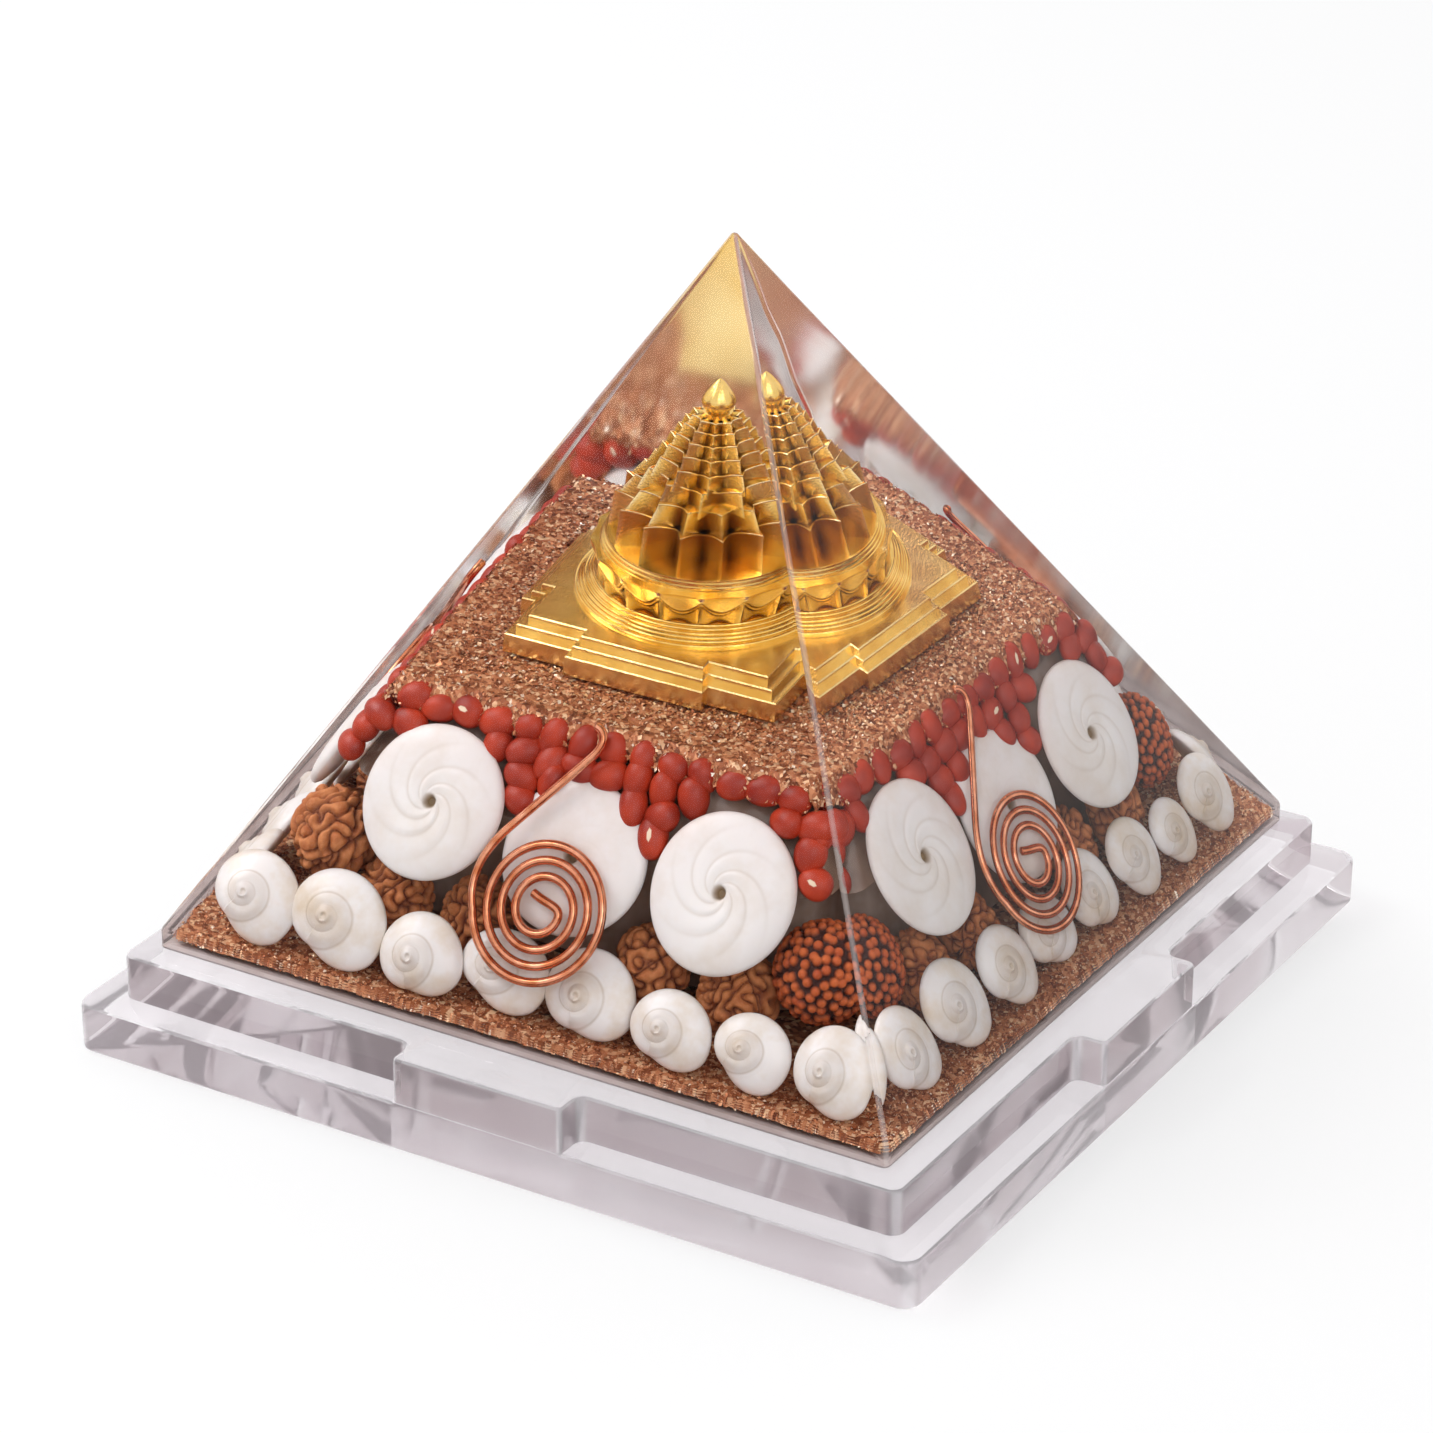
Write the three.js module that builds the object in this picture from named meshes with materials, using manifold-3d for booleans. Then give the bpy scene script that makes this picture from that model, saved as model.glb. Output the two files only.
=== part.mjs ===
// A yantra pyramid: a clear cast pyramid on a stepped clear plinth, with a gilt Meru yantra standing in it on
// a bed of copper flake, and bands of red seeds, shell discs, rudraksha beads, snail shells and copper wire
// spirals set behind each of its four faces. Millimetres, +Z up, origin under the middle of the plinth, front
// face to -Y.
import * as THREE from "three";
import { mergeVertices } from "three/addons/utils/BufferGeometryUtils.js";
import Module from "manifold-3d";

const wasm = await Module();
wasm.setup();

// Plinth
const lowerTierHeight = 9.8;
const lowerTierMargin = 6.5; // from the upper tier's side out to the lower tier's
const upperTierHeight = 9;
const upperTierMargin = 5.2; // from the pyramid's foot out to the upper tier's side
const gateWidth = 36;
const plinthCornerRadius = 3;
const plinthEdgeRound = 0.9;
const gateSetBack = 0.4; // the middle blocks stand just inside the lower tier's face

// Pyramid
const seamGap = 0.3; // between pieces that touch
const pyramidSide = 154.6;
const skirtHeight = 3.9;
const slopeHeight = 127.9; // from the top of the skirt to the apex
const wall = 1; // clear resin in front of the things set behind each face
const tipHalf = 0.5; // half the side of the small flat that blunts the tip

// Copper flake beds
const lowerBedBase = 20.4;
const lowerBedTop = 21.6;
const lowerBedInset = 3; // from the outside of each face
const upperBedThickness = 1.4;
const upperBedInset = 5;

// Gilt yantra
const squareHalf = 28.5; // half the side of its lowest square tier
const squareTierHeight = [3.8, 1.5, 1.5];
const squareTierInset = 1.7;
const squareGateHalf = 14.5;
const squareGateReach = 2.6;
const drumProfile = [ // radius and rise
  [24.3, 0], [24.3, 1], [23.7, 1.1], [23.7, 1.8], [23.1, 1.9], [23.1, 2.6], [21.2, 3.6],
];
const petalBandHeight = 5.8;
const petalRadius = 22.3;
const petalHollow = 1.4;
const petalCount = 16;
const rimProfile = [[20.2, 0], [20.2, 1.2], [19.6, 1.3], [19.6, 2.4]];
const starHollow = 0.8; // a star's inner radius as a share of its outer one
const starTiers = [ // radius, height, number of points, and the turn in shares of the step between two points
  [18.2, 7.3, 14, 0.5], [14.2, 3.5, 14, 0], [11.9, 3, 10, 0], [10.2, 2.5, 10, 0],
  [8.9, 2.4, 10, 0], [7.6, 2.2, 10, 0], [6.3, 2, 10, 0], [5, 1.6, 10, 0],
];
const finialProfile = [
  [2.9, -0.3], [2.9, 0.5], [2.3, 0.9], [3.2, 2.2], [2.9, 3.4], [1.9, 4.9], [0.8, 6.2], [0, 6.9],
];

// Things set behind the faces. A depth is measured square to the face, from its outside.
const wireRadius = 0.8;
const spiralStart = 2.7;
const spiralEnd = 13.8;
const spiralTurns = 3.625;
const spiralHeight = 42.4;
const stepsPerTurn = 24;
const wireSides = 6;
const leadBend = [-3, 19]; // along and up the face from the spiral's middle
const leadAside = 9.5; // along the face, from the spiral's middle to the lead's end
const leadSteps = 10;
const discThickness = 5.2;
const discGap = 2.6; // between neighbouring discs
const discRowInset = 28.4; // from the pyramid's side, level with the snail shells, to the end of the disc row
const discClearance = 3.6; // up the face, from the snail shells to the discs
const discHole = 1.1;
const shellTall = 15.2;
const shellThickness = 4.8;
const shellSwell = 0.06; // towards its mouth, as a share of its size
const shellRim = 0.2; // how far its rim lies behind its middle, as a share of half its thickness
const shellCount = 8;
const shellOverlap = 0.5; // neighbouring shells grow into each other
const shellRowGap = 2.5; // from the end of a row to the wall it runs up to
const beadRadius = 8.4;
const beadGroove = 0.93; // a bead's radius in its grooves, as a share of its own
const beadGap = 1.2; // between the two beads either side of a gap in the discs
const cornerBeadRadius = 9.2;
const cornerBeadRise = 8.5; // above the lower bed
const cornerBeadInset = 4.5; // from the outside of both faces
const cornerBeadGap = 0.1; // to the nearest bead of a row, beyond both radii
const seedWidth = 5.6;
const seedOverlap = 0.8; // neighbouring seeds grow into each other
const seedsPerDisc = 5; // in the top row, for each disc below it
const seedNest = 0.79; // how far each row lies below the last, in seed widths
const seedRows = [ // places along the face, in seed pitches from its middle; the lower rows fill the gaps
  [-5.5, -4.5, -3.5, -2.5, -1.5, -0.5, 0.5, 1.5, 2.5, 3.5, 4.5, 5.5, 6.5],
  [-3, -2, 2, 3, 7],
  [-2.5, 2.5],
];

// Sizes and places worked out from those above. The things behind a face are stacked up it from the lower
// bed, and the upper bed lies on top of them.
const upperTierSide = pyramidSide + 2 * upperTierMargin;
const plinthSide = upperTierSide + 2 * lowerTierMargin;
const plinthTop = lowerTierHeight + upperTierHeight;
const pyramidFoot = plinthTop + seamGap;
const skirtTop = pyramidFoot + skirtHeight;
const apex = skirtTop + slopeHeight;
const rise = slopeHeight / (pyramidSide / 2);
const faceAngle = Math.atan(rise);
const halfAt = (z) => (apex - z) / rise; // half the pyramid's side at a height
const across = (depth) => depth / Math.sin(faceAngle); // a depth square to the face, measured level
const upright = (length) => length * Math.sin(faceAngle); // the height of a length laid up the face
const wireDepth = wall + seamGap + wireRadius;
const behindWire = wireDepth + wireRadius + seamGap;
const beadHeight = lowerBedTop + beadRadius; // its round just touches the bed
const behindShells = behindWire + shellThickness + seamGap;
const beadDepth = behindShells + beadRadius;
const shellRimDrop = (shellThickness / 2) * shellRim * Math.cos(faceAngle);
const shellFoot = upright(shellTall / 2) * (1 + shellSwell) + shellRimDrop;
const shellHeight = lowerBedTop + seamGap + shellFoot;
const cornerBeadHeight = lowerBedTop + cornerBeadRise + cornerBeadRadius;
const cornerBeadOut = halfAt(cornerBeadHeight) - across(cornerBeadInset + cornerBeadRadius);
const rowOut = halfAt(beadHeight) - across(beadDepth); // from the middle to a row of beads
const cornerBeadReach = cornerBeadRadius + beadRadius + cornerBeadGap;
const cornerBeadStep = Math.sqrt(
  cornerBeadReach ** 2 - (rowOut - cornerBeadOut) ** 2 - (cornerBeadHeight - beadHeight) ** 2);
const outerBead = cornerBeadOut - cornerBeadStep;
const innerBead = outerBead - 2 * beadRadius - beadGap;
const discRadius = (halfAt(shellHeight) - discRowInset - discGap) / 3;
const discPitch = 2 * discRadius + discGap;
const discHeight = shellHeight + upright(shellTall / 2 + discClearance + discRadius);
const seedPitch = discPitch / seedsPerDisc;
const seedTop = discHeight + upright(discRadius) + seamGap + seedWidth;
const upperBedTop = seedTop + seamGap + upperBedThickness;
const leadTop = (seedTop - wireRadius - spiralHeight) / Math.sin(faceAngle); // up from the spiral's middle

// A closed geometry as a manifold solid, and back again.
function solid(geometry) {
  const bare = geometry.index ? geometry.toNonIndexed() : geometry.clone();
  const kept = new THREE.BufferGeometry().setAttribute("position", bare.getAttribute("position"));
  const merged = mergeVertices(kept, 1e-4);
  return new wasm.Manifold(new wasm.Mesh({
    numProp: 3,
    vertProperties: new Float32Array(merged.attributes.position.array),
    triVerts: new Uint32Array(merged.index.array),
  }));
}

function geometryOf(manifold) {
  const made = manifold.getMesh();
  const geometry = new THREE.BufferGeometry();
  geometry.setAttribute("position", new THREE.BufferAttribute(new Float32Array(made.vertProperties), 3));
  geometry.setIndex(new THREE.BufferAttribute(new Uint32Array(made.triVerts), 1));
  return geometry;
}

const join = (solids) => solids.reduce((all, one) => all.add(one));

// A closed skin over rings of points: each ring has the same count, and the ends are fans to their middles.
function skin(rings) {
  const count = rings[0].length;
  const points = rings.flat();
  const index = [];
  for (let r = 0; r + 1 < rings.length; r++) {
    for (let i = 0; i < count; i++) {
      const a = r * count + i;
      const b = r * count + ((i + 1) % count);
      index.push(a, b, b + count, a, b + count, a + count);
    }
  }
  const middle = (ring) => ring.reduce((sum, p) => sum.add(p), new THREE.Vector3()).divideScalar(count);
  const foot = points.push(middle(rings[0])) - 1;
  const head = points.push(middle(rings.at(-1))) - 1;
  const last = (rings.length - 1) * count;
  for (let i = 0; i < count; i++) {
    const next = (i + 1) % count;
    index.push(foot, next, i, head, last + i, last + next);
  }
  const geometry = new THREE.BufferGeometry().setFromPoints(points);
  geometry.setIndex(index);
  return geometry;
}

// A ring of points in a level plane, from a function of the angle that gives the radius.
function levelRing(count, z, radius) {
  return Array.from({ length: count }, (_, i) => {
    const angle = (2 * Math.PI * i) / count;
    return new THREE.Vector3(radius(angle) * Math.cos(angle), radius(angle) * Math.sin(angle), z);
  });
}

const squareRing = (half, z) => [[-1, -1], [1, -1], [1, 1], [-1, 1]].map(([x, y]) =>
  new THREE.Vector3(x * half, y * half, z));

// A square with rounded corners, and a bay standing out of the middle of each side.
function gatedSquare(half, gateHalf, gateReach, radius) {
  const out = half + gateReach;
  const quarter = [[half, -half], [half, -gateHalf], [out, -gateHalf], [out, gateHalf], [half, gateHalf]];
  const bare = gateReach > 0 ? quarter : quarter.slice(0, 1);
  const corners = [0, 1, 2, 3].flatMap((k) => bare.map(([x, y]) =>
    new THREE.Vector2(x, y).rotateAround(new THREE.Vector2(), (k * Math.PI) / 2)));
  const shape = new THREE.Shape();
  corners.forEach((corner, i) => {
    const before = corners.at(i - 1);
    const after = corners[(i + 1) % corners.length];
    const from = corner.clone().add(before.clone().sub(corner).setLength(radius));
    const to = corner.clone().add(after.clone().sub(corner).setLength(radius));
    if (i === 0) shape.moveTo(from.x, from.y);
    else shape.lineTo(from.x, from.y);
    if (radius > 0) shape.quadraticCurveTo(corner.x, corner.y, to.x, to.y);
  });
  shape.closePath();
  return shape;
}

function plate(shape, z, height, round, curveSegments) {
  const geometry = new THREE.ExtrudeGeometry(shape, {
    depth: height - 2 * round,
    curveSegments,
    bevelEnabled: round > 0,
    bevelSize: round,
    bevelThickness: round,
    bevelOffset: -round,
    bevelSegments: 1,
  });
  return geometry.translate(0, 0, z + round);
}

// Two clear tiers: the upper one is set back, apart from a block standing forward in the middle of each side.
function plinth() {
  const lowerShape = gatedSquare(plinthSide / 2, 0, 0, plinthCornerRadius);
  const lower = plate(lowerShape, 0, lowerTierHeight, plinthEdgeRound, 3);
  const reach = (plinthSide - upperTierSide) / 2 - gateSetBack;
  const upperShape = gatedSquare(upperTierSide / 2, gateWidth / 2, reach, plinthCornerRadius / 2);
  const upper = plate(upperShape, lowerTierHeight - 2, upperTierHeight + 2, plinthEdgeRound, 2);
  return geometryOf(solid(lower).add(solid(upper)));
}

// The outer pour, open below: a hollow as wide as the copper beds, and above it the yantra's own pocket.
function pyramid() {
  const outer = skin([
    squareRing(pyramidSide / 2, pyramidFoot),
    squareRing(pyramidSide / 2, skirtTop),
    squareRing(tipHalf, apex - tipHalf * rise),
  ]);
  const inside = (z) => halfAt(z) - across(wall);
  const hollow = skin([
    squareRing(inside(skirtTop), pyramidFoot - 1),
    squareRing(inside(skirtTop), skirtTop),
    squareRing(inside(upperBedTop + seamGap), upperBedTop + seamGap),
  ]);
  return geometryOf(solid(outer).subtract(solid(hollow)).subtract(yantraPocket()));
}

// The last pour, which closes the pyramid's foot under the lower bed.
function foot() {
  const half = halfAt(skirtTop) - across(wall) - seamGap;
  return skin([squareRing(half, pyramidFoot), squareRing(half, lowerBedBase - seamGap)]);
}

// The space the yantra takes in the resin: its square foot, its drum and a cone round its star tiers.
function yantraPocket() {
  const foot = squareTierHeight.reduce((sum, height) => sum + height);
  const reach = squareHalf + squareGateReach + seamGap;
  const drumTop = upperBedTop + foot + drumProfile.at(-1)[1] + petalBandHeight + rimProfile.at(-1)[1];
  const starTop = starTiers.reduce((z, [, height]) => z + height, drumTop);
  const box = skin([squareRing(reach, upperBedTop - 1), squareRing(reach, upperBedTop + foot + 2 * seamGap)]);
  const cone = new THREE.LatheGeometry([
    new THREE.Vector2(0, upperBedTop),
    new THREE.Vector2(drumProfile[0][0] + 1, upperBedTop),
    new THREE.Vector2(drumProfile[0][0] + 1, drumTop),
    new THREE.Vector2(starTiers[0][0] + 1.2, drumTop + starTiers[0][1] + seamGap),
    new THREE.Vector2(starTiers.at(-1)[0] + 1.2, starTop + seamGap),
    new THREE.Vector2(0, starTop + finialProfile.at(-1)[1] + 1.5),
  ], 24).rotateX(Math.PI / 2);
  return solid(box).add(solid(cone));
}

// The inner pour behind the things set at the faces, stepped in to leave room for the rudraksha beads.
function core() {
  const behindRow = rowOut - beadRadius - seamGap;
  const behindCorner = cornerBeadOut - (cornerBeadRadius * beadGroove + seamGap) / Math.SQRT2;
  const behindBeads = Math.min(behindRow, behindCorner);
  const beadTop = cornerBeadHeight + cornerBeadRadius + seamGap;
  const behindDiscs = (z) => halfAt(z) - across(behindWire + Math.max(discThickness, seedWidth) + seamGap);
  return skin([
    squareRing(behindBeads, lowerBedTop + seamGap),
    squareRing(behindBeads, beadTop),
    squareRing(behindDiscs(beadTop + 1), beadTop + 1),
    squareRing(behindDiscs(seedTop), seedTop),
  ]);
}

// A bed of copper flake, which keeps a steady inset from the faces.
function bed(from, to, inset) {
  const levels = from < skirtTop && skirtTop < to ? [from, skirtTop, to] : [from, to];
  return skin(levels.map((z) => squareRing(halfAt(Math.max(z, skirtTop)) - across(inset), z)));
}

// The yantra is one casting: three square tiers with gates, a lotus drum, tiers of star points and a finial.
function yantra() {
  const parts = [];
  let z = upperBedTop + seamGap;
  squareTierHeight.forEach((height, i) => {
    const half = squareHalf - i * squareTierInset;
    const shape = gatedSquare(half, squareGateHalf - i * 0.8, squareGateReach, 0.3);
    parts.push(plate(shape, z - 0.2, height + 0.2, 0, 1));
    z += height;
  });
  const drum = drumProfile.map(([radius, up]) => levelRing(32, z + up, () => radius));
  drum[0] = levelRing(32, z - 0.2, () => drumProfile[0][0]);
  const petals = (angle) => petalRadius - petalHollow * Math.abs(Math.sin((angle * petalCount) / 2));
  z += drumProfile.at(-1)[1];
  const rings = [
    levelRing(2 * petalCount, z - 0.3, () => petalRadius - 1.6),
    levelRing(2 * petalCount, z + 0.4, () => petalRadius - 1.2),
    levelRing(2 * petalCount, z + petalBandHeight * 0.55, petals),
    levelRing(2 * petalCount, z + petalBandHeight, () => petalRadius - 2.6),
  ];
  parts.push(skin(drum), skin(rings));
  z += petalBandHeight;
  const rim = rimProfile.map(([radius, up]) => levelRing(32, z + up, () => radius));
  rim[0] = levelRing(32, z - 0.3, () => rimProfile[0][0]);
  parts.push(skin(rim));
  z += rimProfile.at(-1)[1];
  starTiers.forEach(([radius, height, points, turn]) => {
    const star = (angle) => {
      const onPoint = Math.round((angle * points) / Math.PI) % 2 === 0;
      return onPoint ? radius : radius * starHollow;
    };
    const tier = skin([levelRing(2 * points, z - 0.3, star), levelRing(2 * points, z + height, star)]);
    parts.push(tier.rotateZ((turn * 2 * Math.PI) / points));
    z += height;
  });
  const turned = [[0, finialProfile[0][1]], ...finialProfile];
  const finial = new THREE.LatheGeometry(turned.map(([r, up]) => new THREE.Vector2(r, up)), 12);
  parts.push(finial.rotateX(Math.PI / 2).translate(0, 0, z));
  return geometryOf(join(parts.map(solid)));
}

// A shell disc: a shallow dome with a small hole in its middle.
function disc() {
  const half = discThickness / 2;
  const profile = [
    [discHole, -half], [discRadius - 2, -half], [discRadius, -half * 0.2], [discRadius - 1, half * 0.5],
    [discRadius * 0.55, half], [discHole * 2.2, half * 0.9], [discHole, half * 0.5], [discHole, -half],
  ];
  return new THREE.LatheGeometry(profile.map(([r, y]) => new THREE.Vector2(r, y)), 15).rotateX(Math.PI / 2);
}

// A snail shell seen from above its spire: an oval dome that swells towards its mouth.
function snail(width) {
  const outline = (angle) => 1 + shellSwell * Math.cos(angle + 0.6);
  const level = (share, z) => levelRing(10, z, (angle) => share * outline(angle)).map((p) =>
    new THREE.Vector3((p.x * width) / 2, (p.y * shellTall) / 2, p.z));
  const half = shellThickness / 2;
  return skin([level(0.6, -half), level(1, -half * shellRim), level(0.72, half * 0.6), level(0.3, half)]);
}

// A rudraksha bead: five lobes with grooves between them, drawn in at both ends.
function bead(radius) {
  const lobes = (angle) => 1 - (1 - beadGroove) * Math.abs(Math.sin((angle * 5) / 2));
  const rings = [-0.95, -0.7, -0.25, 0.25, 0.7, 0.95].map((z) =>
    levelRing(10, z * radius * 0.96, (angle) => radius * Math.sqrt(1 - z * z) * lobes(angle)));
  return skin(rings);
}

// A red seed: a small smooth bean, longer than it is wide.
function seed() {
  return new THREE.IcosahedronGeometry(0.54, 0).scale(seedPitch + seedOverlap, seedWidth, seedWidth);
}

// The wire's middle line, flat in its face: a short straight end inside, a spiral wound clockwise and
// outwards, then a lead that bends round and runs straight up across the face.
function wireLine() {
  const turnSteps = Math.round(spiralTurns * stepsPerTurn);
  const points = Array.from({ length: turnSteps + 1 }, (_, i) => {
    const radius = THREE.MathUtils.lerp(spiralStart, spiralEnd, i / turnSteps);
    const angle = Math.PI + (2 * Math.PI * (turnSteps - i)) / stepsPerTurn;
    return new THREE.Vector3(radius * Math.cos(angle), radius * Math.sin(angle), 0);
  });
  const inward = points[0].clone().sub(points[1]).setLength(2.1 * wireRadius);
  points.unshift(points[0].clone().add(inward));
  const outer = points.at(-1);
  const bend = new THREE.Vector3(...leadBend, 0);
  const end = new THREE.Vector3(leadAside, leadTop, 0);
  const ahead = new THREE.Vector3(outer.x, leadBend[1] / 2, 0);
  const before = bend.clone().add(bend.clone().sub(end).setLength(leadBend[1] / 3));
  const lead = new THREE.CubicBezierCurve3(outer, ahead, before, bend);
  return [...points, ...lead.getPoints(leadSteps).slice(1), end];
}

// A round wire along a flat line of points: at each, a ring in the plane square to the line.
function wire(line) {
  const rings = line.map((point, i) => {
    const ahead = (line[i + 1] ?? point).clone().sub(line[i - 1] ?? point).normalize();
    const aside = new THREE.Vector3(-ahead.y, ahead.x, 0);
    return Array.from({ length: wireSides }, (_, k) => {
      const angle = (2 * Math.PI * k) / wireSides;
      const up = new THREE.Vector3(0, 0, wireRadius * Math.sin(angle));
      return point.clone().addScaledVector(aside, wireRadius * Math.cos(angle)).add(up);
    });
  });
  return skin(rings);
}

// The least gap between stretches of the wire that are more than four radii apart along it.
function leastGap(line) {
  const path = new THREE.CurvePath();
  line.slice(1).forEach((point, i) => path.add(new THREE.LineCurve3(line[i], point)));
  const samples = 600;
  const points = path.getSpacedPoints(samples);
  const near = Math.ceil((samples * 4 * wireRadius) / path.getLength());
  let least = Infinity;
  points.forEach((p, i) => {
    for (let j = i + near; j < points.length; j++) least = Math.min(least, p.distanceTo(points[j]));
  });
  return least - 2 * wireRadius;
}

const look = (color, roughness, metalness) => new THREE.MeshStandardMaterial({ color, roughness, metalness });
const clear = new THREE.MeshStandardMaterial({
  color: 0xe9e4e8, roughness: 0.05, metalness: 0, transparent: true, opacity: 0.3,
});
const gilt = look(0xd9a528, 0.3, 1);
const flake = look(0xa8633f, 0.6, 0.5);
const copper = look(0xc9714a, 0.3, 1);
const shellWhite = look(0xece6df, 0.4, 0);
const rudraksha = look(0x8f4522, 0.8, 0);
const seedRed = look(0x9c1d10, 0.4, 0);

const model = new THREE.Group();

function add(name, geometry, material, parent = model) {
  const mesh = new THREE.Mesh(geometry, material);
  mesh.name = name;
  parent.add(mesh);
  return mesh;
}

// Where something lies behind the front face: along it, up it, and square into it.
function behindFace(x, z, depth) {
  return new THREE.Vector3(x, -(halfAt(z) - across(depth)), z);
}

// Seeds under the upper bed: a whole row along the top, and below it what the discs' gaps hold.
function seedBand() {
  const depth = behindWire + seedWidth / 2;
  const seeds = seedRows.flatMap((places, row) => {
    const z = seedTop - seedWidth / 2 - upright(row * seedNest * seedWidth);
    const laid = seed().rotateX(faceAngle);
    return places.map((place) => laid.clone().translate(...behindFace(place * seedPitch, z, depth)));
  });
  return geometryOf(join(seeds.map(solid)));
}

// A row of snail shells set side by side. It starts clear of the row that runs into the corner on its left,
// and runs up to the wall on its right.
function shellRow() {
  const depth = behindWire + shellThickness / 2;
  const start = across(depth + shellThickness / 2) - halfAt(shellHeight) + seamGap;
  const end = halfAt(shellHeight) - across(wall) - shellRowGap;
  const pitch = (end - start - shellOverlap) / shellCount;
  const width = pitch + shellOverlap;
  const shells = Array.from({ length: shellCount }, (_, i) => {
    const at = behindFace(start + width / 2 + i * pitch, shellHeight, depth);
    return snail(width).rotateX(faceAngle).translate(...at);
  });
  return geometryOf(join(shells.map(solid)));
}

add("plinth", plinth(), clear);
add("pyramid_casting", pyramid(), clear);
add("core_casting", core(), clear);
add("foot_casting", foot(), clear);
add("meru_yantra", yantra(), gilt);
add("copper_bed_upper", bed(upperBedTop - upperBedThickness, upperBedTop, upperBedInset), flake);
add("copper_bed_lower", bed(lowerBedBase, lowerBedTop, lowerBedInset), flake);

const spiralLine = wireLine();
console.log("least gap between a spiral's turns, mm:", leastGap(spiralLine).toFixed(2));

["front", "right", "back", "left"].forEach((side, k) => {
  const face = new THREE.Group();
  face.rotation.z = (k * Math.PI) / 2;
  model.add(face);
  add(`seed_band_${side}`, seedBand(), seedRed, face);
  [-1, 0, 1].forEach((place, i) => {
    const front = place === 0 ? behindWire : wall + seamGap;
    const one = add(`shell_disc_${side}_${i + 1}`, disc(), shellWhite, face);
    one.position.copy(behindFace(place * discPitch, discHeight, front + discThickness / 2));
    one.rotation.x = faceAngle;
  });
  add(`snail_shells_${side}`, shellRow(), shellWhite, face);
  [-outerBead, -innerBead, innerBead, outerBead].forEach((x, i) => {
    const one = add(`rudraksha_${side}_${i + 1}`, bead(beadRadius), rudraksha, face);
    one.position.copy(behindFace(x, beadHeight, beadDepth));
    one.rotation.set(faceAngle, 0.4 * i, 0.9 * i);
  });
  const corner = add(`rudraksha_corner_${side}`, bead(cornerBeadRadius), rudraksha, face);
  corner.position.set(cornerBeadOut, -cornerBeadOut, cornerBeadHeight);
  const spiral = add(`copper_spiral_${side}`, wire(spiralLine), copper, face);
  spiral.position.copy(behindFace(0, spiralHeight, wireDepth));
  spiral.rotation.x = faceAngle;
});

export default model;
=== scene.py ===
import math

import bpy
import numpy as np
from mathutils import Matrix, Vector


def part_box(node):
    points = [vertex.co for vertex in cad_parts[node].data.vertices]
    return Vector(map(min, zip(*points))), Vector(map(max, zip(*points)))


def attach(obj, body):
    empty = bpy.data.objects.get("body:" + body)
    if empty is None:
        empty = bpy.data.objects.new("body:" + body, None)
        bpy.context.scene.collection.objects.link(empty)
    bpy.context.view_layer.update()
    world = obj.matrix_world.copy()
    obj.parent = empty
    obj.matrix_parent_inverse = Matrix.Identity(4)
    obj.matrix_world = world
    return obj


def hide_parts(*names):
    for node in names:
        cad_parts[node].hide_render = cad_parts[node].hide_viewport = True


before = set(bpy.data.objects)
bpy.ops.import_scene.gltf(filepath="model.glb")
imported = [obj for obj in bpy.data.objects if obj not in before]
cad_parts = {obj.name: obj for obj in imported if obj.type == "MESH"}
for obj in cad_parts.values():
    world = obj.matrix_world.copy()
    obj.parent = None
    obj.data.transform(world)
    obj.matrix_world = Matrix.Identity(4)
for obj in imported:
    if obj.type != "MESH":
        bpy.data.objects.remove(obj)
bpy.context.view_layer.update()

mm = 0.001
sides = ("front", "right", "back", "left")

# The camera first: where the photograph was taken from.
camera = {
    "azimuth": 31.237,  # degrees round from the front
    "elevation": 25.934,
    "distance": 1015.7 * mm,
    "aside": -3.225 * mm,  # of the origin, to the right
    "above": 48.573 * mm,
    "lens": 133.66,  # mm, for a 36 mm wide sensor
}


def placeCamera(c):
    around, up = math.radians(c["azimuth"]), math.radians(c["elevation"])
    back = Vector((math.sin(around) * math.cos(up), -math.cos(around) * math.cos(up), math.sin(up)))
    right = Vector((math.cos(around), math.sin(around), 0))
    data = bpy.data.cameras.new("camera")
    data.lens, data.sensor_width = c["lens"], 36
    lens = bpy.data.objects.new("camera", data)
    lens.location = back * c["distance"] + right * c["aside"] + back.cross(right) * c["above"]
    lens.rotation_euler = back.to_track_quat("Z", "Y").to_euler()
    bpy.context.collection.objects.link(lens)
    bpy.context.scene.camera = lens


placeCamera(camera)
bpy.context.scene.view_settings.view_transform = "Standard"
print("camera placed")


# Materials

class Signal:
    # A number inside a material or the world. Arithmetic on it adds Math nodes.
    def __init__(self, paint, socket):
        self.paint, self.socket = paint, socket

    def math(self, operation, *values):
        return self.paint.add("Math", {"operation": operation}, *values)[0]

    def size(self):
        return self.math("ABSOLUTE", self)

    def __add__(self, other):
        return self.math("ADD", self, other)

    def __sub__(self, other):
        return self.math("SUBTRACT", self, other)

    def __rsub__(self, other):
        return self.math("SUBTRACT", other, self)

    def __mul__(self, other):
        return self.math("MULTIPLY", self, other)

    __radd__, __rmul__ = __add__, __mul__

    def orMore(self, other):
        return self.math("MAXIMUM", self, other)

    def orLess(self, other):
        return self.math("MINIMUM", self, other)

    def over(self, low, high):
        # 0 below low, 1 above high, straight between
        return self.paint.add("MapRange", {}, self, low, high, 0, 1)[0]


class Outputs:
    def __init__(self, paint, node):
        self.paint, self.node = paint, node

    def __getitem__(self, key):
        return Signal(self.paint, self.node.outputs[key])


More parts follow.
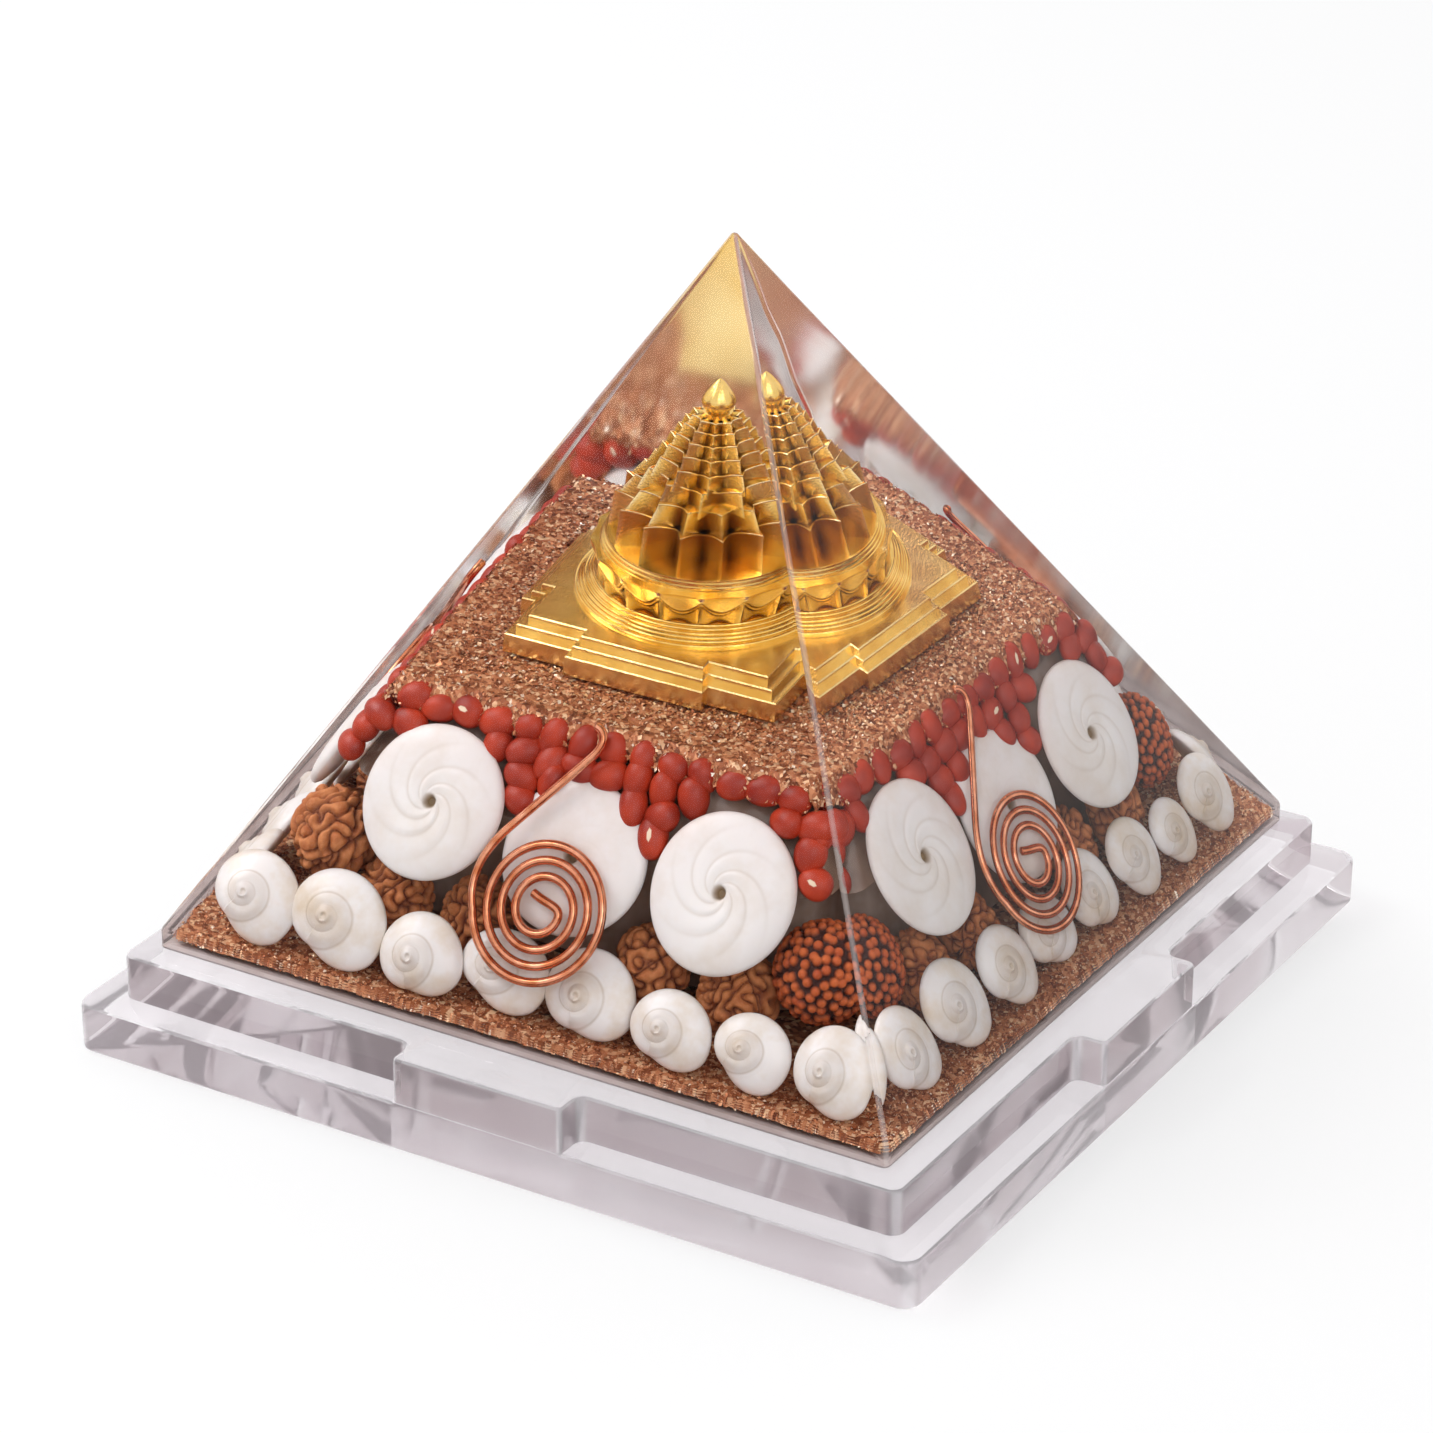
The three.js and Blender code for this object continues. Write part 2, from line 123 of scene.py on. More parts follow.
class Paint:
    # The nodes of one material or world. add() makes a node and fills its settings first, then its sockets in
    # order or by name.
    def __init__(self, owner):
        self.owner = owner
        owner.use_nodes = True
        self.tree = owner.node_tree
        self.tree.nodes.clear()

    def add(self, kind, settings=None, *values, **named):
        node = self.tree.nodes.new("ShaderNode" + kind)
        for key, value in (settings or {}).items():
            if key == "stops":
                self.fillRamp(node.color_ramp, value)
            else:
                setattr(node, key, value)
        sockets = [*enumerate(values), *((key.replace("_", " "), value) for key, value in named.items())]
        for key, value in sockets:
            self.fill(node.inputs[key], value)
        return Outputs(self, node)

    def fill(self, socket, value):
        if isinstance(value, Signal):
            self.tree.links.new(value.socket, socket)
        else:
            socket.default_value = value

    def fillRamp(self, ramp, stops):
        while len(ramp.elements) < len(stops):
            ramp.elements.new(0.5)
        for element, (place, colour) in zip(ramp.elements, stops):
            element.position, element.color = place, colour

    def here(self):
        return self.add("TexCoord")["Object"]

    def mark(self, name):
        # a number that the mesh carries at each point
        return self.add("Attribute", {"attribute_name": name})["Fac"]

    def stretched(self, x, y, z):
        return self.add("VectorMath", {"operation": "MULTIPLY"}, self.here(), (x, y, z))["Vector"]

    def noise(self, scale, detail=3, rough=0.5):
        noise = self.add("TexNoise", {}, Vector=self.here(), Scale=scale, Detail=detail, Roughness=rough)
        return noise["Fac"]

    def ramp(self, value, *stops):
        return self.add("ValToRGB", {"stops": stops}, value)["Color"]

    def mix(self, share, low, high):
        # sockets 6 and 7, and output 2, are the colour ones
        mixed = self.add("Mix", {"data_type": "RGBA"}, share)
        self.fill(mixed.node.inputs[6], low)
        self.fill(mixed.node.inputs[7], high)
        return mixed[2]

    def bump(self, height, distance, strength=1.0):
        return self.add("Bump", {}, Strength=strength, Distance=distance, Height=height)["Normal"]

    def shownRay(self):
        # 1 for what the camera sees straight, in a gloss or through resin
        path = self.add("LightPath")
        return path["Is Camera Ray"].orMore(path["Is Glossy Ray"]).orMore(path["Is Transmission Ray"])

    def finish(self, **sockets):
        shader = self.add("BsdfPrincipled", {}, **sockets)
        self.add("OutputMaterial", {}, shader["BSDF"])
        return self.owner

    def finishClear(self, shader, veil):
        # a shadow ray runs straight through and is only tinted by the veil's colour
        through = self.add("BsdfTransparent", {}, Color=tone(veil))
        shadow = self.add("LightPath")["Is Shadow Ray"]
        mixed = self.add("MixShader", {}, shadow, shader, through["BSDF"])
        self.add("OutputMaterial", {}, mixed["Shader"])
        return self.owner


def newPaint(name):
    return Paint(bpy.data.materials.new(name))


def tone(code):
    # a colour as a screen shows it, given as six hex digits, made linear
    parts = [int(code[i:i + 2], 16) / 255 for i in (0, 2, 4)]
    return [p / 12.92 if p <= 0.04045 else ((p + 0.055) / 1.055) ** 2.4 for p in parts] + [1]


def plinthMaterial():
    # cast resin, a little milky, with light and shade painted into its tint: upright sides get painted shade,
    # darker than level ones, the upper tier's most, rounded edges, whose normals lie along none of the three
    # axes, get a near-white painted highlight, and soft vertical streaks stand in for what the resin refracts
    tier = plinthShape["lowerTop"]
    p = newPaint("plinthResin")
    way = p.add("SeparateXYZ", {}, p.add("NewGeometry")["Normal"])
    x, y, z = (way[axis].size() for axis in "XYZ")
    # painted refraction: soft vertical streaks of lighter and darker tint
    streaks = p.add("TexNoise", {}, Vector=p.stretched(1, 1, 0.1), Scale=26, Detail=2)["Fac"]
    low = p.ramp(streaks, (0.3, tone("d0c4c8")), (0.5, tone("dfd6da")), (0.7, tone("f0eaed")))
    high = p.ramp(streaks, (0.3, tone("bbabae")), (0.5, tone("cdbfc3")), (0.7, tone("e0d6da")))
    height = p.add("SeparateXYZ", {}, p.here())["Z"]
    # painted shade, deepest on the upper tier's upright sides
    side = p.mix(height.over(tier - 0.8 * mm, tier + 1.2 * mm), low, high)
    # level faces nearly white, upright ones in painted shade
    plain = p.mix(z.over(0.4, 0.8), side, tone("f4f0f3"))
    # painted highlight where a rounded edge's normal lies along no axis
    edge = x.orMore(y).orMore(z).over(0.985, 0.85)
    body = p.add("BsdfPrincipled", {}, Base_Color=p.mix(edge, plain, tone("fcfafc")), Roughness=0.04, IOR=1.2,
                 Transmission_Weight=0.82, Coat_Weight=0.4, Coat_Roughness=0.03)
    return p.finishClear(body["BSDF"], "ded6da")


def resinMaterial():
    # clear resin. Its outside hardly mirrors, and what it mirrors inside is blurred, as its back faces are
    # only cast, not polished. Its upright edges, where the normal leans along both level axes, carry a
    # painted highlight: a pale matt share is mixed in there
    p = newPaint("clearResin")
    surface = p.add("NewGeometry")
    behind = surface["Backfacing"]
    way = p.add("SeparateXYZ", {}, surface["Normal"])
    # painted highlight: a pale matt share on the upright edges' outside
    edgeHighlight = way["X"].size().orLess(way["Y"].size()).over(0.1, 0.5) * (1 - behind) * 0.28
    body = p.add("BsdfPrincipled", {}, Base_Color=tone("fdfbfc"), Roughness=behind * 0.13 + 0.01, IOR=1.5,
                 Transmission_Weight=1.0, Specular_Tint=tone("4c4a4c"))
    highlightShader = p.add("BsdfDiffuse", {}, Color=tone("f0e6e4"))
    paintedHighlight = p.add("MixShader", {}, edgeHighlight, body["BSDF"], highlightShader["BSDF"])
    return p.finishClear(paintedHighlight["Shader"], "fdfbfc")


def cloudedMaterial(name, dark, middle, pale):
    # resin clouded by what is set round it
    p = newPaint(name)
    cloud = p.noise(45, 4, 0.6)
    colour = p.ramp(cloud, (0.3, tone(dark)), (0.5, tone(middle)), (0.75, tone(pale)))
    return p.finish(Base_Color=colour, Roughness=0.25, Coat_Weight=0.4, Coat_Roughness=0.1,
                    Normal=p.bump(cloud, 3 * mm, 0.4))


def giltMaterial():
    # satin gold, with light and shade painted into its colour: its mark is 1 deep in the casting's hollows,
    # which get painted shade, and -1 where it gets a pale painted highlight
    p = newPaint("gilt")
    cloud = p.noise(160, 3, 0.5)
    hollow = p.mark("hollow")
    bright = p.ramp(cloud, (0.3, tone("e6b550")), (0.7, tone("fad88a")))
    # pale painted highlight where the mark is below 0
    paintedHighlight = p.mix(hollow.over(0, -1), bright, tone("fff3c8"))
    # painted shade in the hollows, where the mark is above 0
    return p.finish(
        Base_Color=p.mix(hollow.over(0, 1) * 0.9, paintedHighlight, tone("6b3f0c")), Metallic=1.0,
        Roughness=cloud * 0.12 + 0.14, Normal=p.bump(p.noise(2200, 2, 0.6), 0.12 * mm, 0.35),
    )


def copperMaterial():
    p = newPaint("copperWire")
    cloud = p.noise(300, 3)
    colour = p.ramp(cloud, (0.35, tone("cd7a50")), (0.7, tone("f0ad8c")))
    return p.finish(Base_Color=colour, Metallic=1.0, Roughness=cloud * 0.1 + 0.12)


def flakeMaterial():
    # each flake carries its own shade, from dark copper to pale brass
    p = newPaint("copperFlake")
    shade = p.mark("shade")
    colour = p.ramp(
        shade, (0.0, tone("7d3c1e")), (0.3, tone("b3683f")), (0.58, tone("d79468")),
        (0.78, tone("f2c8a0")), (1.0, tone("fff6e6")),
    )
    return p.finish(
        Base_Color=colour, Metallic=shade.over(0.2, 0.7) * 0.35 + 0.3, Roughness=0.5 - shade * 0.2,
        Normal=p.bump(p.noise(3000, 2), 0.1 * mm, 0.5),
    )


def groundMaterial():
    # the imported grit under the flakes
    p = newPaint("copperGrit")
    grit = p.add("TexVoronoi", {}, Vector=p.here(), Scale=1100)["Color"]
    fleck = p.add("SeparateColor", {}, grit)["Red"]
    colour = p.ramp(
        fleck, (0.0, tone("743a1e")), (0.4, tone("a9623c")), (0.75, tone("d28f63")), (1.0, tone("f6d2a8")),
    )
    return p.finish(
        Base_Color=colour, Metallic=0.3, Roughness=0.5, Normal=p.bump(fleck, 0.5 * mm, 0.7),
    )


def shellMaterial(name, streak):
    # white shell with pale streaks. Its mark darkens it towards brown: painted shade in the grooves and at
    # the foot of the swirl's steps; the holes and the snails' inner turns are darker too
    p = newPaint(name)
    cloud = p.noise(90, 4, 0.6)
    bare = p.mix(cloud.over(0.42, 0.75), tone("f2efed"), tone(streak))
    # painted shade in the grooves and at the steps' feet, from the mark
    colour = p.mix(p.mark("hollow"), bare, tone("a08560"))
    return p.finish(
        Base_Color=colour, Roughness=cloud * 0.2 + 0.3, Coat_Weight=0.2, Coat_Roughness=0.25,
        Subsurface_Weight=0.12, Subsurface_Radius=(2 * mm, 1.6 * mm, 1.3 * mm), Subsurface_Scale=1.0,
        Normal=p.bump(p.noise(500, 3), 0.05 * mm, 0.25),
    )


def beadMaterial(name, low, high, creviceShade):
    # brown wood, with painted shade: darker in the crevices than on its ridges
    p = newPaint(name)
    cloud = p.noise(420, 4, 0.65)
    lit = p.ramp(cloud, (0.3, tone(low)), (0.7, tone(high)))
    # painted shade in the crevices, from the depth mark
    return p.finish(
        Base_Color=p.mix(p.mark("hollow").over(0.15, 0.85), lit, tone(creviceShade)),
        Roughness=cloud * 0.2 + 0.6, Normal=p.bump(p.noise(1500, 4, 0.7), 0.3 * mm, 0.7),
    )


def seedMaterial():
    # dull red, with a pale eye on some
    p = newPaint("redSeed")
    cloud = p.noise(160, 3)
    red = p.ramp(cloud, (0.3, tone("901e08")), (0.72, tone("c23a14")))
    colour = p.mix(p.mark("eye").over(0.45, 0.6), red, tone("f0dcc0"))
    return p.finish(
        Base_Color=colour, Roughness=cloud * 0.15 + 0.38, Normal=p.bump(p.noise(1400, 2), 0.04 * mm, 0.3),
    )


# Shapes: a shape is its points, an (n, 3) array, and its faces, lists of indices.

def gridFaces(rows, columns):
    # quads between neighbouring rows of points, each row closed on itself
    i, j = np.meshgrid(np.arange(rows - 1), np.arange(columns), indexing="ij")
    k = (j + 1) % columns
    corners = [i * columns + j, i * columns + k, (i + 1) * columns + k, (i + 1) * columns + j]
    return np.stack(corners, -1).reshape(-1, 4)


def closedSkin(rings):
    # rings, (rows, columns, 3), run from the foot up, anticlockwise seen from above; a fan closes either end
    rows, columns = rings.shape[:2]
    ends = np.stack([rings[0].mean(0), rings[-1].mean(0)])
    points = np.concatenate([rings.reshape(-1, 3), ends])
    j = np.arange(columns)
    k = (j + 1) % columns
    foot, head = rows * columns, rows * columns + 1
    top = (rows - 1) * columns
    under = np.stack([j * 0 + foot, k, j], -1)
    over = np.stack([j * 0 + head, top + j, top + k], -1)
    return points, [*gridFaces(rows, columns).tolist(), *under.tolist(), *over.tolist()]


def together(shapes):
    points, faces, start = [], [], 0
    for shapePoints, shapeFaces in shapes:
        points.append(shapePoints)
        faces += [[i + start for i in face] for face in shapeFaces]
        start += len(shapePoints)
    return np.concatenate(points), faces


def makePiece(name, shape, material, replaced=(), crease=35):
    points, faces = shape
    mesh = bpy.data.meshes.new(name)
    mesh.from_pydata(points, [], faces)
    mesh.shade_smooth()
    mesh.set_sharp_from_angle(angle=math.radians(crease))
    mesh.materials.append(material)
    piece = bpy.data.objects.new(name, mesh)
    bpy.context.collection.objects.link(piece)
    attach(piece, "root")
    if replaced:
        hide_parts(*replaced)
    return piece


def markPoints(piece, name, values):
    mark = piece.data.attributes.new(name, "FLOAT", "POINT")
    mark.data.foreach_set("value", np.asarray(values, np.float32))


def cadCorners(node):
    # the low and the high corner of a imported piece's box
    return np.array([list(corner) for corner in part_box(node)])


# The pyramid's faces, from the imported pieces.
plinthHigh = cadCorners("plinth")[1]
pyramidLow, pyramidHigh = cadCorners("pyramid_casting")
skirtHeight = 3.9 * mm
tipHalf = 0.5 * mm
pyramidHalf = pyramidHigh[0]
skirtTop = pyramidLow[2] + skirtHeight
rise = (pyramidHigh[2] - skirtTop) / (pyramidHalf - tipHalf)
apex = skirtTop + rise * pyramidHalf
faceAngle = math.atan(rise)
faceAxes = np.array([  # along the front face, up it and out of it
    [1, 0, 0],
    [0, math.cos(faceAngle), math.sin(faceAngle)],
    [0, -math.sin(faceAngle), math.cos(faceAngle)],
])
quarterTurns = ((1, 0), (0, 1), (-1, 0), (0, -1))  # cosine and sine of each


def halfAt(z):
    # half the pyramid's side at a height
    return (apex - z) / rise


def turned(points, quarter):
    # the same points on another face of the pyramid, by quarter turns about Z
    c, s = quarterTurns[quarter % 4]
    return points @ np.array([[c, s, 0], [-s, c, 0], [0, 0, 1]])


def onFace(points, x, z, depth, quarter=0):
    # lays a flat shape behind a face: its x runs along the face, its y up it and its z out of it
    middle = np.array([x, -(halfAt(z) - depth / math.sin(faceAngle)), z])
    return turned(points @ faceAxes + middle, quarter)


# Clear resin: the plinth and the pyramid

plinthShape = {
    "lowerTop": 9.8 * mm,
    "upperHalf": 82.5 * mm,
    "cornerRadius": 2.6 * mm,
    "lowerCornerRadius": 3.6 * mm,
    "gateHalf": 18 * mm,
    "gateSetBack": 0.25 * mm,
    "gateInnerRadius": 2.2 * mm,
    "gateOuterRadius": 1.4 * mm,
    "edgeRadius": 1.0 * mm,
    "wallFoot": 0.02 * mm,  # above the lower tier's top
}
bend = np.radians((0, 30, 60, 90))  # the angles at which a rounded edge has its points


def arc(centre, radius, start, end, count):
    # a quarter turn of count steps about a centre, from one angle to another
    angles = np.radians(np.linspace(start, end, count + 1))
    return np.stack([centre[0] + radius * np.cos(angles), centre[1] + radius * np.sin(angles)], -1)


def gatedOutline(half, gateHalf, gateOut, corner, inner, outer):
    # one side runs along the front from its left corner, with a block standing out in the middle, and is
    # turned to make the others
    side = np.concatenate([
        arc((-half + corner, -half + corner), corner, 225, 270, 6),
        arc((-gateHalf - inner, -half - inner), inner, 90, 0, 5),
        arc((-gateHalf + outer, -gateOut + outer), outer, 180, 270, 5),
        arc((gateHalf - outer, -gateOut + outer), outer, 270, 360, 5),
        arc((gateHalf + inner, -half - inner), inner, 180, 90, 5),
        arc((half - corner, -half + corner), corner, 270, 315, 6)[:-1],
    ])
    return np.concatenate([side @ np.array([[c, s], [-s, c]]) for c, s in quarterTurns])


def rounded(radius):
    # for each point of a rounded edge, how far it lies inside the side and below the top
    return [(radius * (1 - math.cos(a)), radius * (1 - math.sin(a))) for a in bend]


def plinthRings(s):
    half, top, edge = plinthHigh[0], plinthHigh[2], s["edgeRadius"]

    def upper(inset):
        return gatedOutline(
            s["upperHalf"] - inset, s["gateHalf"] - inset, half - s["gateSetBack"] - inset,
            s["cornerRadius"] - inset, s["gateInnerRadius"] + inset, s["gateOuterRadius"] - inset)

    def lower(inset):
        # the block's points lie on the straight side, but for a hair, so both outlines share their columns
        hair = 1e-7
        side = half - inset - hair
        return gatedOutline(side, s["gateHalf"], side, s["lowerCornerRadius"] - inset, hair, hair)

    def level(outline, z):
        return np.column_stack([outline, np.full(len(outline), z)])

    rings = [level(lower(inset), drop) for inset, drop in rounded(edge)[::-1]]
    # the lower tier's top edge rounds in towards the upper tier's wall, by no more than the way there
    reach = upper(0) - lower(0)
    far = np.linalg.norm(reach, axis=1)[:, None]
    for inset, drop in rounded(np.minimum(edge, far)):
        moved = lower(0) + reach * inset / np.maximum(far, 1e-9)
        rings.append(np.column_stack([moved, s["lowerTop"] - drop]))
    rings.append(level(upper(0), s["lowerTop"] + s["wallFoot"]))
    rings += [level(upper(inset), top - drop) for inset, drop in rounded(edge)]
    return np.stack(rings)


def squareRing(half, radius, z, steps=6):
    # a level square with rounded corners
    corner = arc((half - radius, half - radius), radius, 0, 90, steps)
    turns = quarterTurns[3:] + quarterTurns[:3]
    ring = np.concatenate([corner @ np.array([[c, s], [-s, c]]) for c, s in turns])
    return np.column_stack([ring, np.full(len(ring), z)])


pyramidShape = {
    "edgeRadius": 1.1 * mm,
    "footRadius": 0.4 * mm,
    "tipRadius": 0.9 * mm,
    "skirtBend": 0.3 * mm,  # how far below and above the skirt's top it turns into the sloping face
}


def pyramidRings(s):
    edge, tip = s["edgeRadius"], s["tipRadius"]
    skirt, slope = skirtTop - s["skirtBend"], skirtTop + s["skirtBend"]
    rings = [squareRing(pyramidHalf - inset, edge, pyramidLow[2] + drop)
             for inset, drop in rounded(s["footRadius"])[::-1]]
    rings += [squareRing(pyramidHalf, edge, skirt), squareRing(halfAt(slope), edge, slope)]
    # the tip is a small dome that the faces run into
    start = math.pi / 2 - faceAngle
    middle = pyramidHigh[2] - tip
    joins = middle + tip * math.sin(start)
    for z in np.linspace(slope, joins, 12)[1:-1]:
        rings.append(squareRing(halfAt(z), min(edge, halfAt(z) * 0.9), z))
    reach = halfAt(joins)
    for a in np.linspace(start, math.pi / 2 - 0.15, 6):
        half = reach * math.cos(a) / math.cos(start)
        rings.append(squareRing(half, half * 0.95, middle + tip * math.sin(a)))
    return np.stack(rings)


coreShape = {
    "stepHeight": 49 * mm,  # below it the core stands clear of the beads
    "stepHalf": 44.6 * mm,
    "depth": 9.2 * mm,  # square to the face, above that
    "shoulder": 1.2 * mm,  # the height in which it widens
    "edgeRadius": 6 * mm,
    "bevel": 1 * mm,
    "colours": ("7a5f50", "99806f", "c4b2a6"),
}


def coreRings(s):
    low, high = cadCorners("core_casting")[:, 2]
    setBack = s["depth"] / math.sin(faceAngle)
    half = s["stepHalf"]
    levels = [(half - s["bevel"], low), (half, low + s["bevel"]), (half, s["stepHeight"])]
    levels += [(halfAt(z) - setBack, z) for z in (s["stepHeight"] + s["shoulder"], high - s["bevel"])]
    levels.append((halfAt(high) - setBack - s["bevel"], high))
    return np.stack([squareRing(half, s["edgeRadius"], z) for half, z in levels])


footShape = {
    "edgeRadius": 0.6 * mm,
    "inset": 0.4 * mm,  # from the pyramid's outside
    "lowerEdge": (0.7 * mm, 0.1 * mm, 0.4 * mm),  # the underside's inset and height, and the bevel's end
    "upperEdge": (1.2 * mm, 0.6 * mm),  # inset of its top, and how far below it the bevel starts
    "colours": ("a3938f", "b8a9a6", "cdc1c0"),
}


def footRings(s):
    # fills the pyramid's foot below the lower bed
    low, high = cadCorners("foot_casting")[:, 2]
    underInset, underside, lowerEdge = s["lowerEdge"]
    topInset, upperEdge = s["upperEdge"]
    levels = ((underInset, low + underside), (s["inset"], low + lowerEdge), (s["inset"], high - upperEdge),
              (topInset, high))
    return np.stack([squareRing(pyramidHalf - inset, s["edgeRadius"], z) for inset, z in levels])


shape = closedSkin(plinthRings(plinthShape))
makePiece("plinthCasting", shape, plinthMaterial(), ("plinth",), 20)
makePiece("pyramidCasting", closedSkin(pyramidRings(pyramidShape)), resinMaterial(), ("pyramid_casting",),
          12)
footResin = cloudedMaterial("footResin", *footShape["colours"])
makePiece("footCasting", closedSkin(footRings(footShape)), footResin, ("foot_casting",), 30)
coreResin = cloudedMaterial("coreResin", *coreShape["colours"])
makePiece("coreCasting", closedSkin(coreRings(coreShape)), coreResin, ("core_casting",), 30)
print("clear castings made")


# The gilt yantra

yantra = {
    "squareHeights": (3.8 * mm, 1.5 * mm, 1.5 * mm),
    "squareHalf": 28.5 * mm,
    "squareInset": 1.7 * mm,
    "squareSunk": 0.2 * mm,  # into the one below
    # the squares' mark: a faint pale painted highlight
    "squareMark": -0.3,
    "gateHalf": 14.5 * mm,
    "gateInset": 0.8 * mm,
    "gateReach": 2.6 * mm,
    "gateRadius": 0.05 * mm,
    "edge": 0.22 * mm,
    "baseRadius": 24.3,  # mm, as in the profiles and tiers below
    "baseSteps": (  # height and inset
        (0.9, 0.7), (0.55, 0.5), (0.55, 0.5), (0.55, 0.7), (0.55, 0.6), (0.5, 0.6),
    ),
    "baseLip": 0.12,
    "petals": 16,
    "petalRadius": 22.2,
    "petalHeight": 5.8,
    "petalSunk": 0.1,
    "petalFoot": 2.5,  # how far the band's foot lies inside its top
    "petalSwell": 0.9,
    "petalDepth": 1.1,  # of a petal's middle, at its foot
    "festoons": (0.75, 0.8),  # how far the lower and the upper one stand out
    "ribHeight": 0.9,
    "rim": ((18, -0.3), (20.2, -0.3), (20.2, 0.5), (19.9, 0.6), (19.9, 1.1), (19.6, 1.25), (19.6, 1.8),
            (19.3, 1.95), (19.3, 2.3), (18.9, 2.4)),
    "tiers": (  # radius, height, number of points, turn in steps, drop from a point to the hollow beside it
        (18.2, 7.3, 14, 0.75, 1.7), (14.6, 3.5, 14, 0.75, 1.1), (12.3, 3, 10, 0.9, 1.1),
        (10.5, 2.5, 10, 0.04, 0.9), (9.1, 2.4, 10, 0.04, 0.8), (7.7, 2.2, 10, 0.04, 0.7),
        (6.4, 2, 10, 0.04, 0.6), (5, 1.6, 10, 0.04, 0.4),
    ),
    "starHollow": (0.75, 0.66),  # radius in the hollows as a share of the points': later stars, first star
    "starShade": (0.3, 0.5),  # painted shade at the foot of the flanks, as a mark, in the same order
    "firstLean": 0.7,  # how far the first star's points lean out at its foot
    "starStep": 0.3,  # how far the other stars' feet lie inside the points below them
    "starSink": 1.2 * mm,  # how far each star's foot lies below the top of the one under it
    "starEdge": 0.12 * mm,
    "bulb": ((2.9, -0.3), (2.9, 0.5), (2.35, 0.8), (2.35, 1.0), (2.9, 1.4), (3.2, 2.0), (3.25, 2.6),
             (3.0, 3.4), (2.4, 4.4), (1.7, 5.3), (1.05, 6.1), (0.5, 6.6), (0.15, 6.85)),
}


def lathe(profile, count=160):
    # a profile of radius and height turned about Z
    angles = np.arange(count) * 2 * np.pi / count
    radius, height = np.array(profile).T
    rings = np.stack([radius[:, None] * np.cos(angles), radius[:, None] * np.sin(angles),
                      np.repeat(height[:, None], count, 1)], -1)
    return closedSkin(rings)


def turnedProfile(profile, base, count=160):
    return lathe([(r * mm, base + up * mm) for r, up in profile], count)


def yantraSquare(s, step, z, height):
    half = s["squareHalf"] - step * s["squareInset"]
    gate, small, edge = s["gateHalf"] - step * s["gateInset"], s["gateRadius"], s["edge"]

    def ring(inset, level):
        outline = gatedOutline(half - inset, gate - inset, half + s["gateReach"] - inset, small, small, small)
        return np.column_stack([outline, np.full(len(outline), level)])

    return closedSkin(np.stack([ring(0, z), ring(0, z + height - edge), ring(edge, z + height)]))


def drumProfile(s):
    # fine steps drawn in towards the petals: each has a small wall, a lip, and a tread that dips behind it
    radius, z, lip = s["baseRadius"], 0.0, s["baseLip"]
    profile = [(radius - 0.1, -0.2)]
    for height, inset in s["baseSteps"]:
        profile += [(radius, z + 0.1), (radius, z + height - 0.15), (radius - lip, z + height),
                    (radius - inset * 0.6, z + height - 0.1), (radius - inset, z + height)]
        radius, z = radius - inset, z + height
    return profile, z


def petalRings(s, base):
    # f runs across a petal and v up it. The band swells out towards its top; between sharp ribs each petal
    # sinks in, and two festoons, lips that hang lowest in its middle, stand out over what lies below them.
    # Also gives the marks: painted shade under the festoons and low in each petal, and a painted highlight
    # along the festoons' lips and the ribs
    count, across, up = s["petals"], 28, 44
    angle = np.arange(count * across) * 2 * np.pi / (count * across)
    f = (angle * count / (2 * np.pi)) % 1
    v = np.linspace(0, 1, up)[:, None]
    bowl = 1 - (2 * f - 1) ** 2
    rib = np.exp(-(np.minimum(f, 1 - f) / 0.05) ** 1.2)
    lip = 0.86 - 0.5 * bowl
    lowLip = lip - 0.17

    def step(place):
        return 1 / (1 + np.exp(-(v - place) * 90))

    lowOut, highOut = s["festoons"]
    radius = s["petalRadius"] - s["petalFoot"] + s["petalSwell"] * v - s["petalDepth"] * bowl * (1 - v) ** 0.5
    radius = radius + (step(lowLip) * lowOut + step(lip) * highOut) * (1 - 0.5 * rib)
    radius = radius - step(lip) * 0.9 * bowl * v + rib * s["ribHeight"] * (0.35 + 0.65 * v)
    radius = np.minimum(radius, s["petalRadius"] - 0.3 * v)
    # painted shade under each festoon and low in each petal
    under = np.exp(-((v - lowLip) / 0.07) ** 2) + np.exp(-((v - lip) / 0.06) ** 2) * 0.8
    hollow = np.clip(under * (1 - rib) + 0.35 * bowl * (1 - step(lowLip)), 0, 1)
    # painted highlight along each festoon's lip and the ribs
    paintedHighlight = np.exp(-((v - lowLip - 0.04) / 0.03) ** 2) + np.exp(-((v - lip - 0.04) / 0.03) ** 2) + rib * 0.4
    hollow = np.clip(hollow * 1.6 - paintedHighlight * 1.6, -1, 1)
    z = base + s["petalHeight"] * mm * v + 0 * f
    return np.stack([radius * mm * np.cos(angle), radius * mm * np.sin(angle), z], -1), hollow


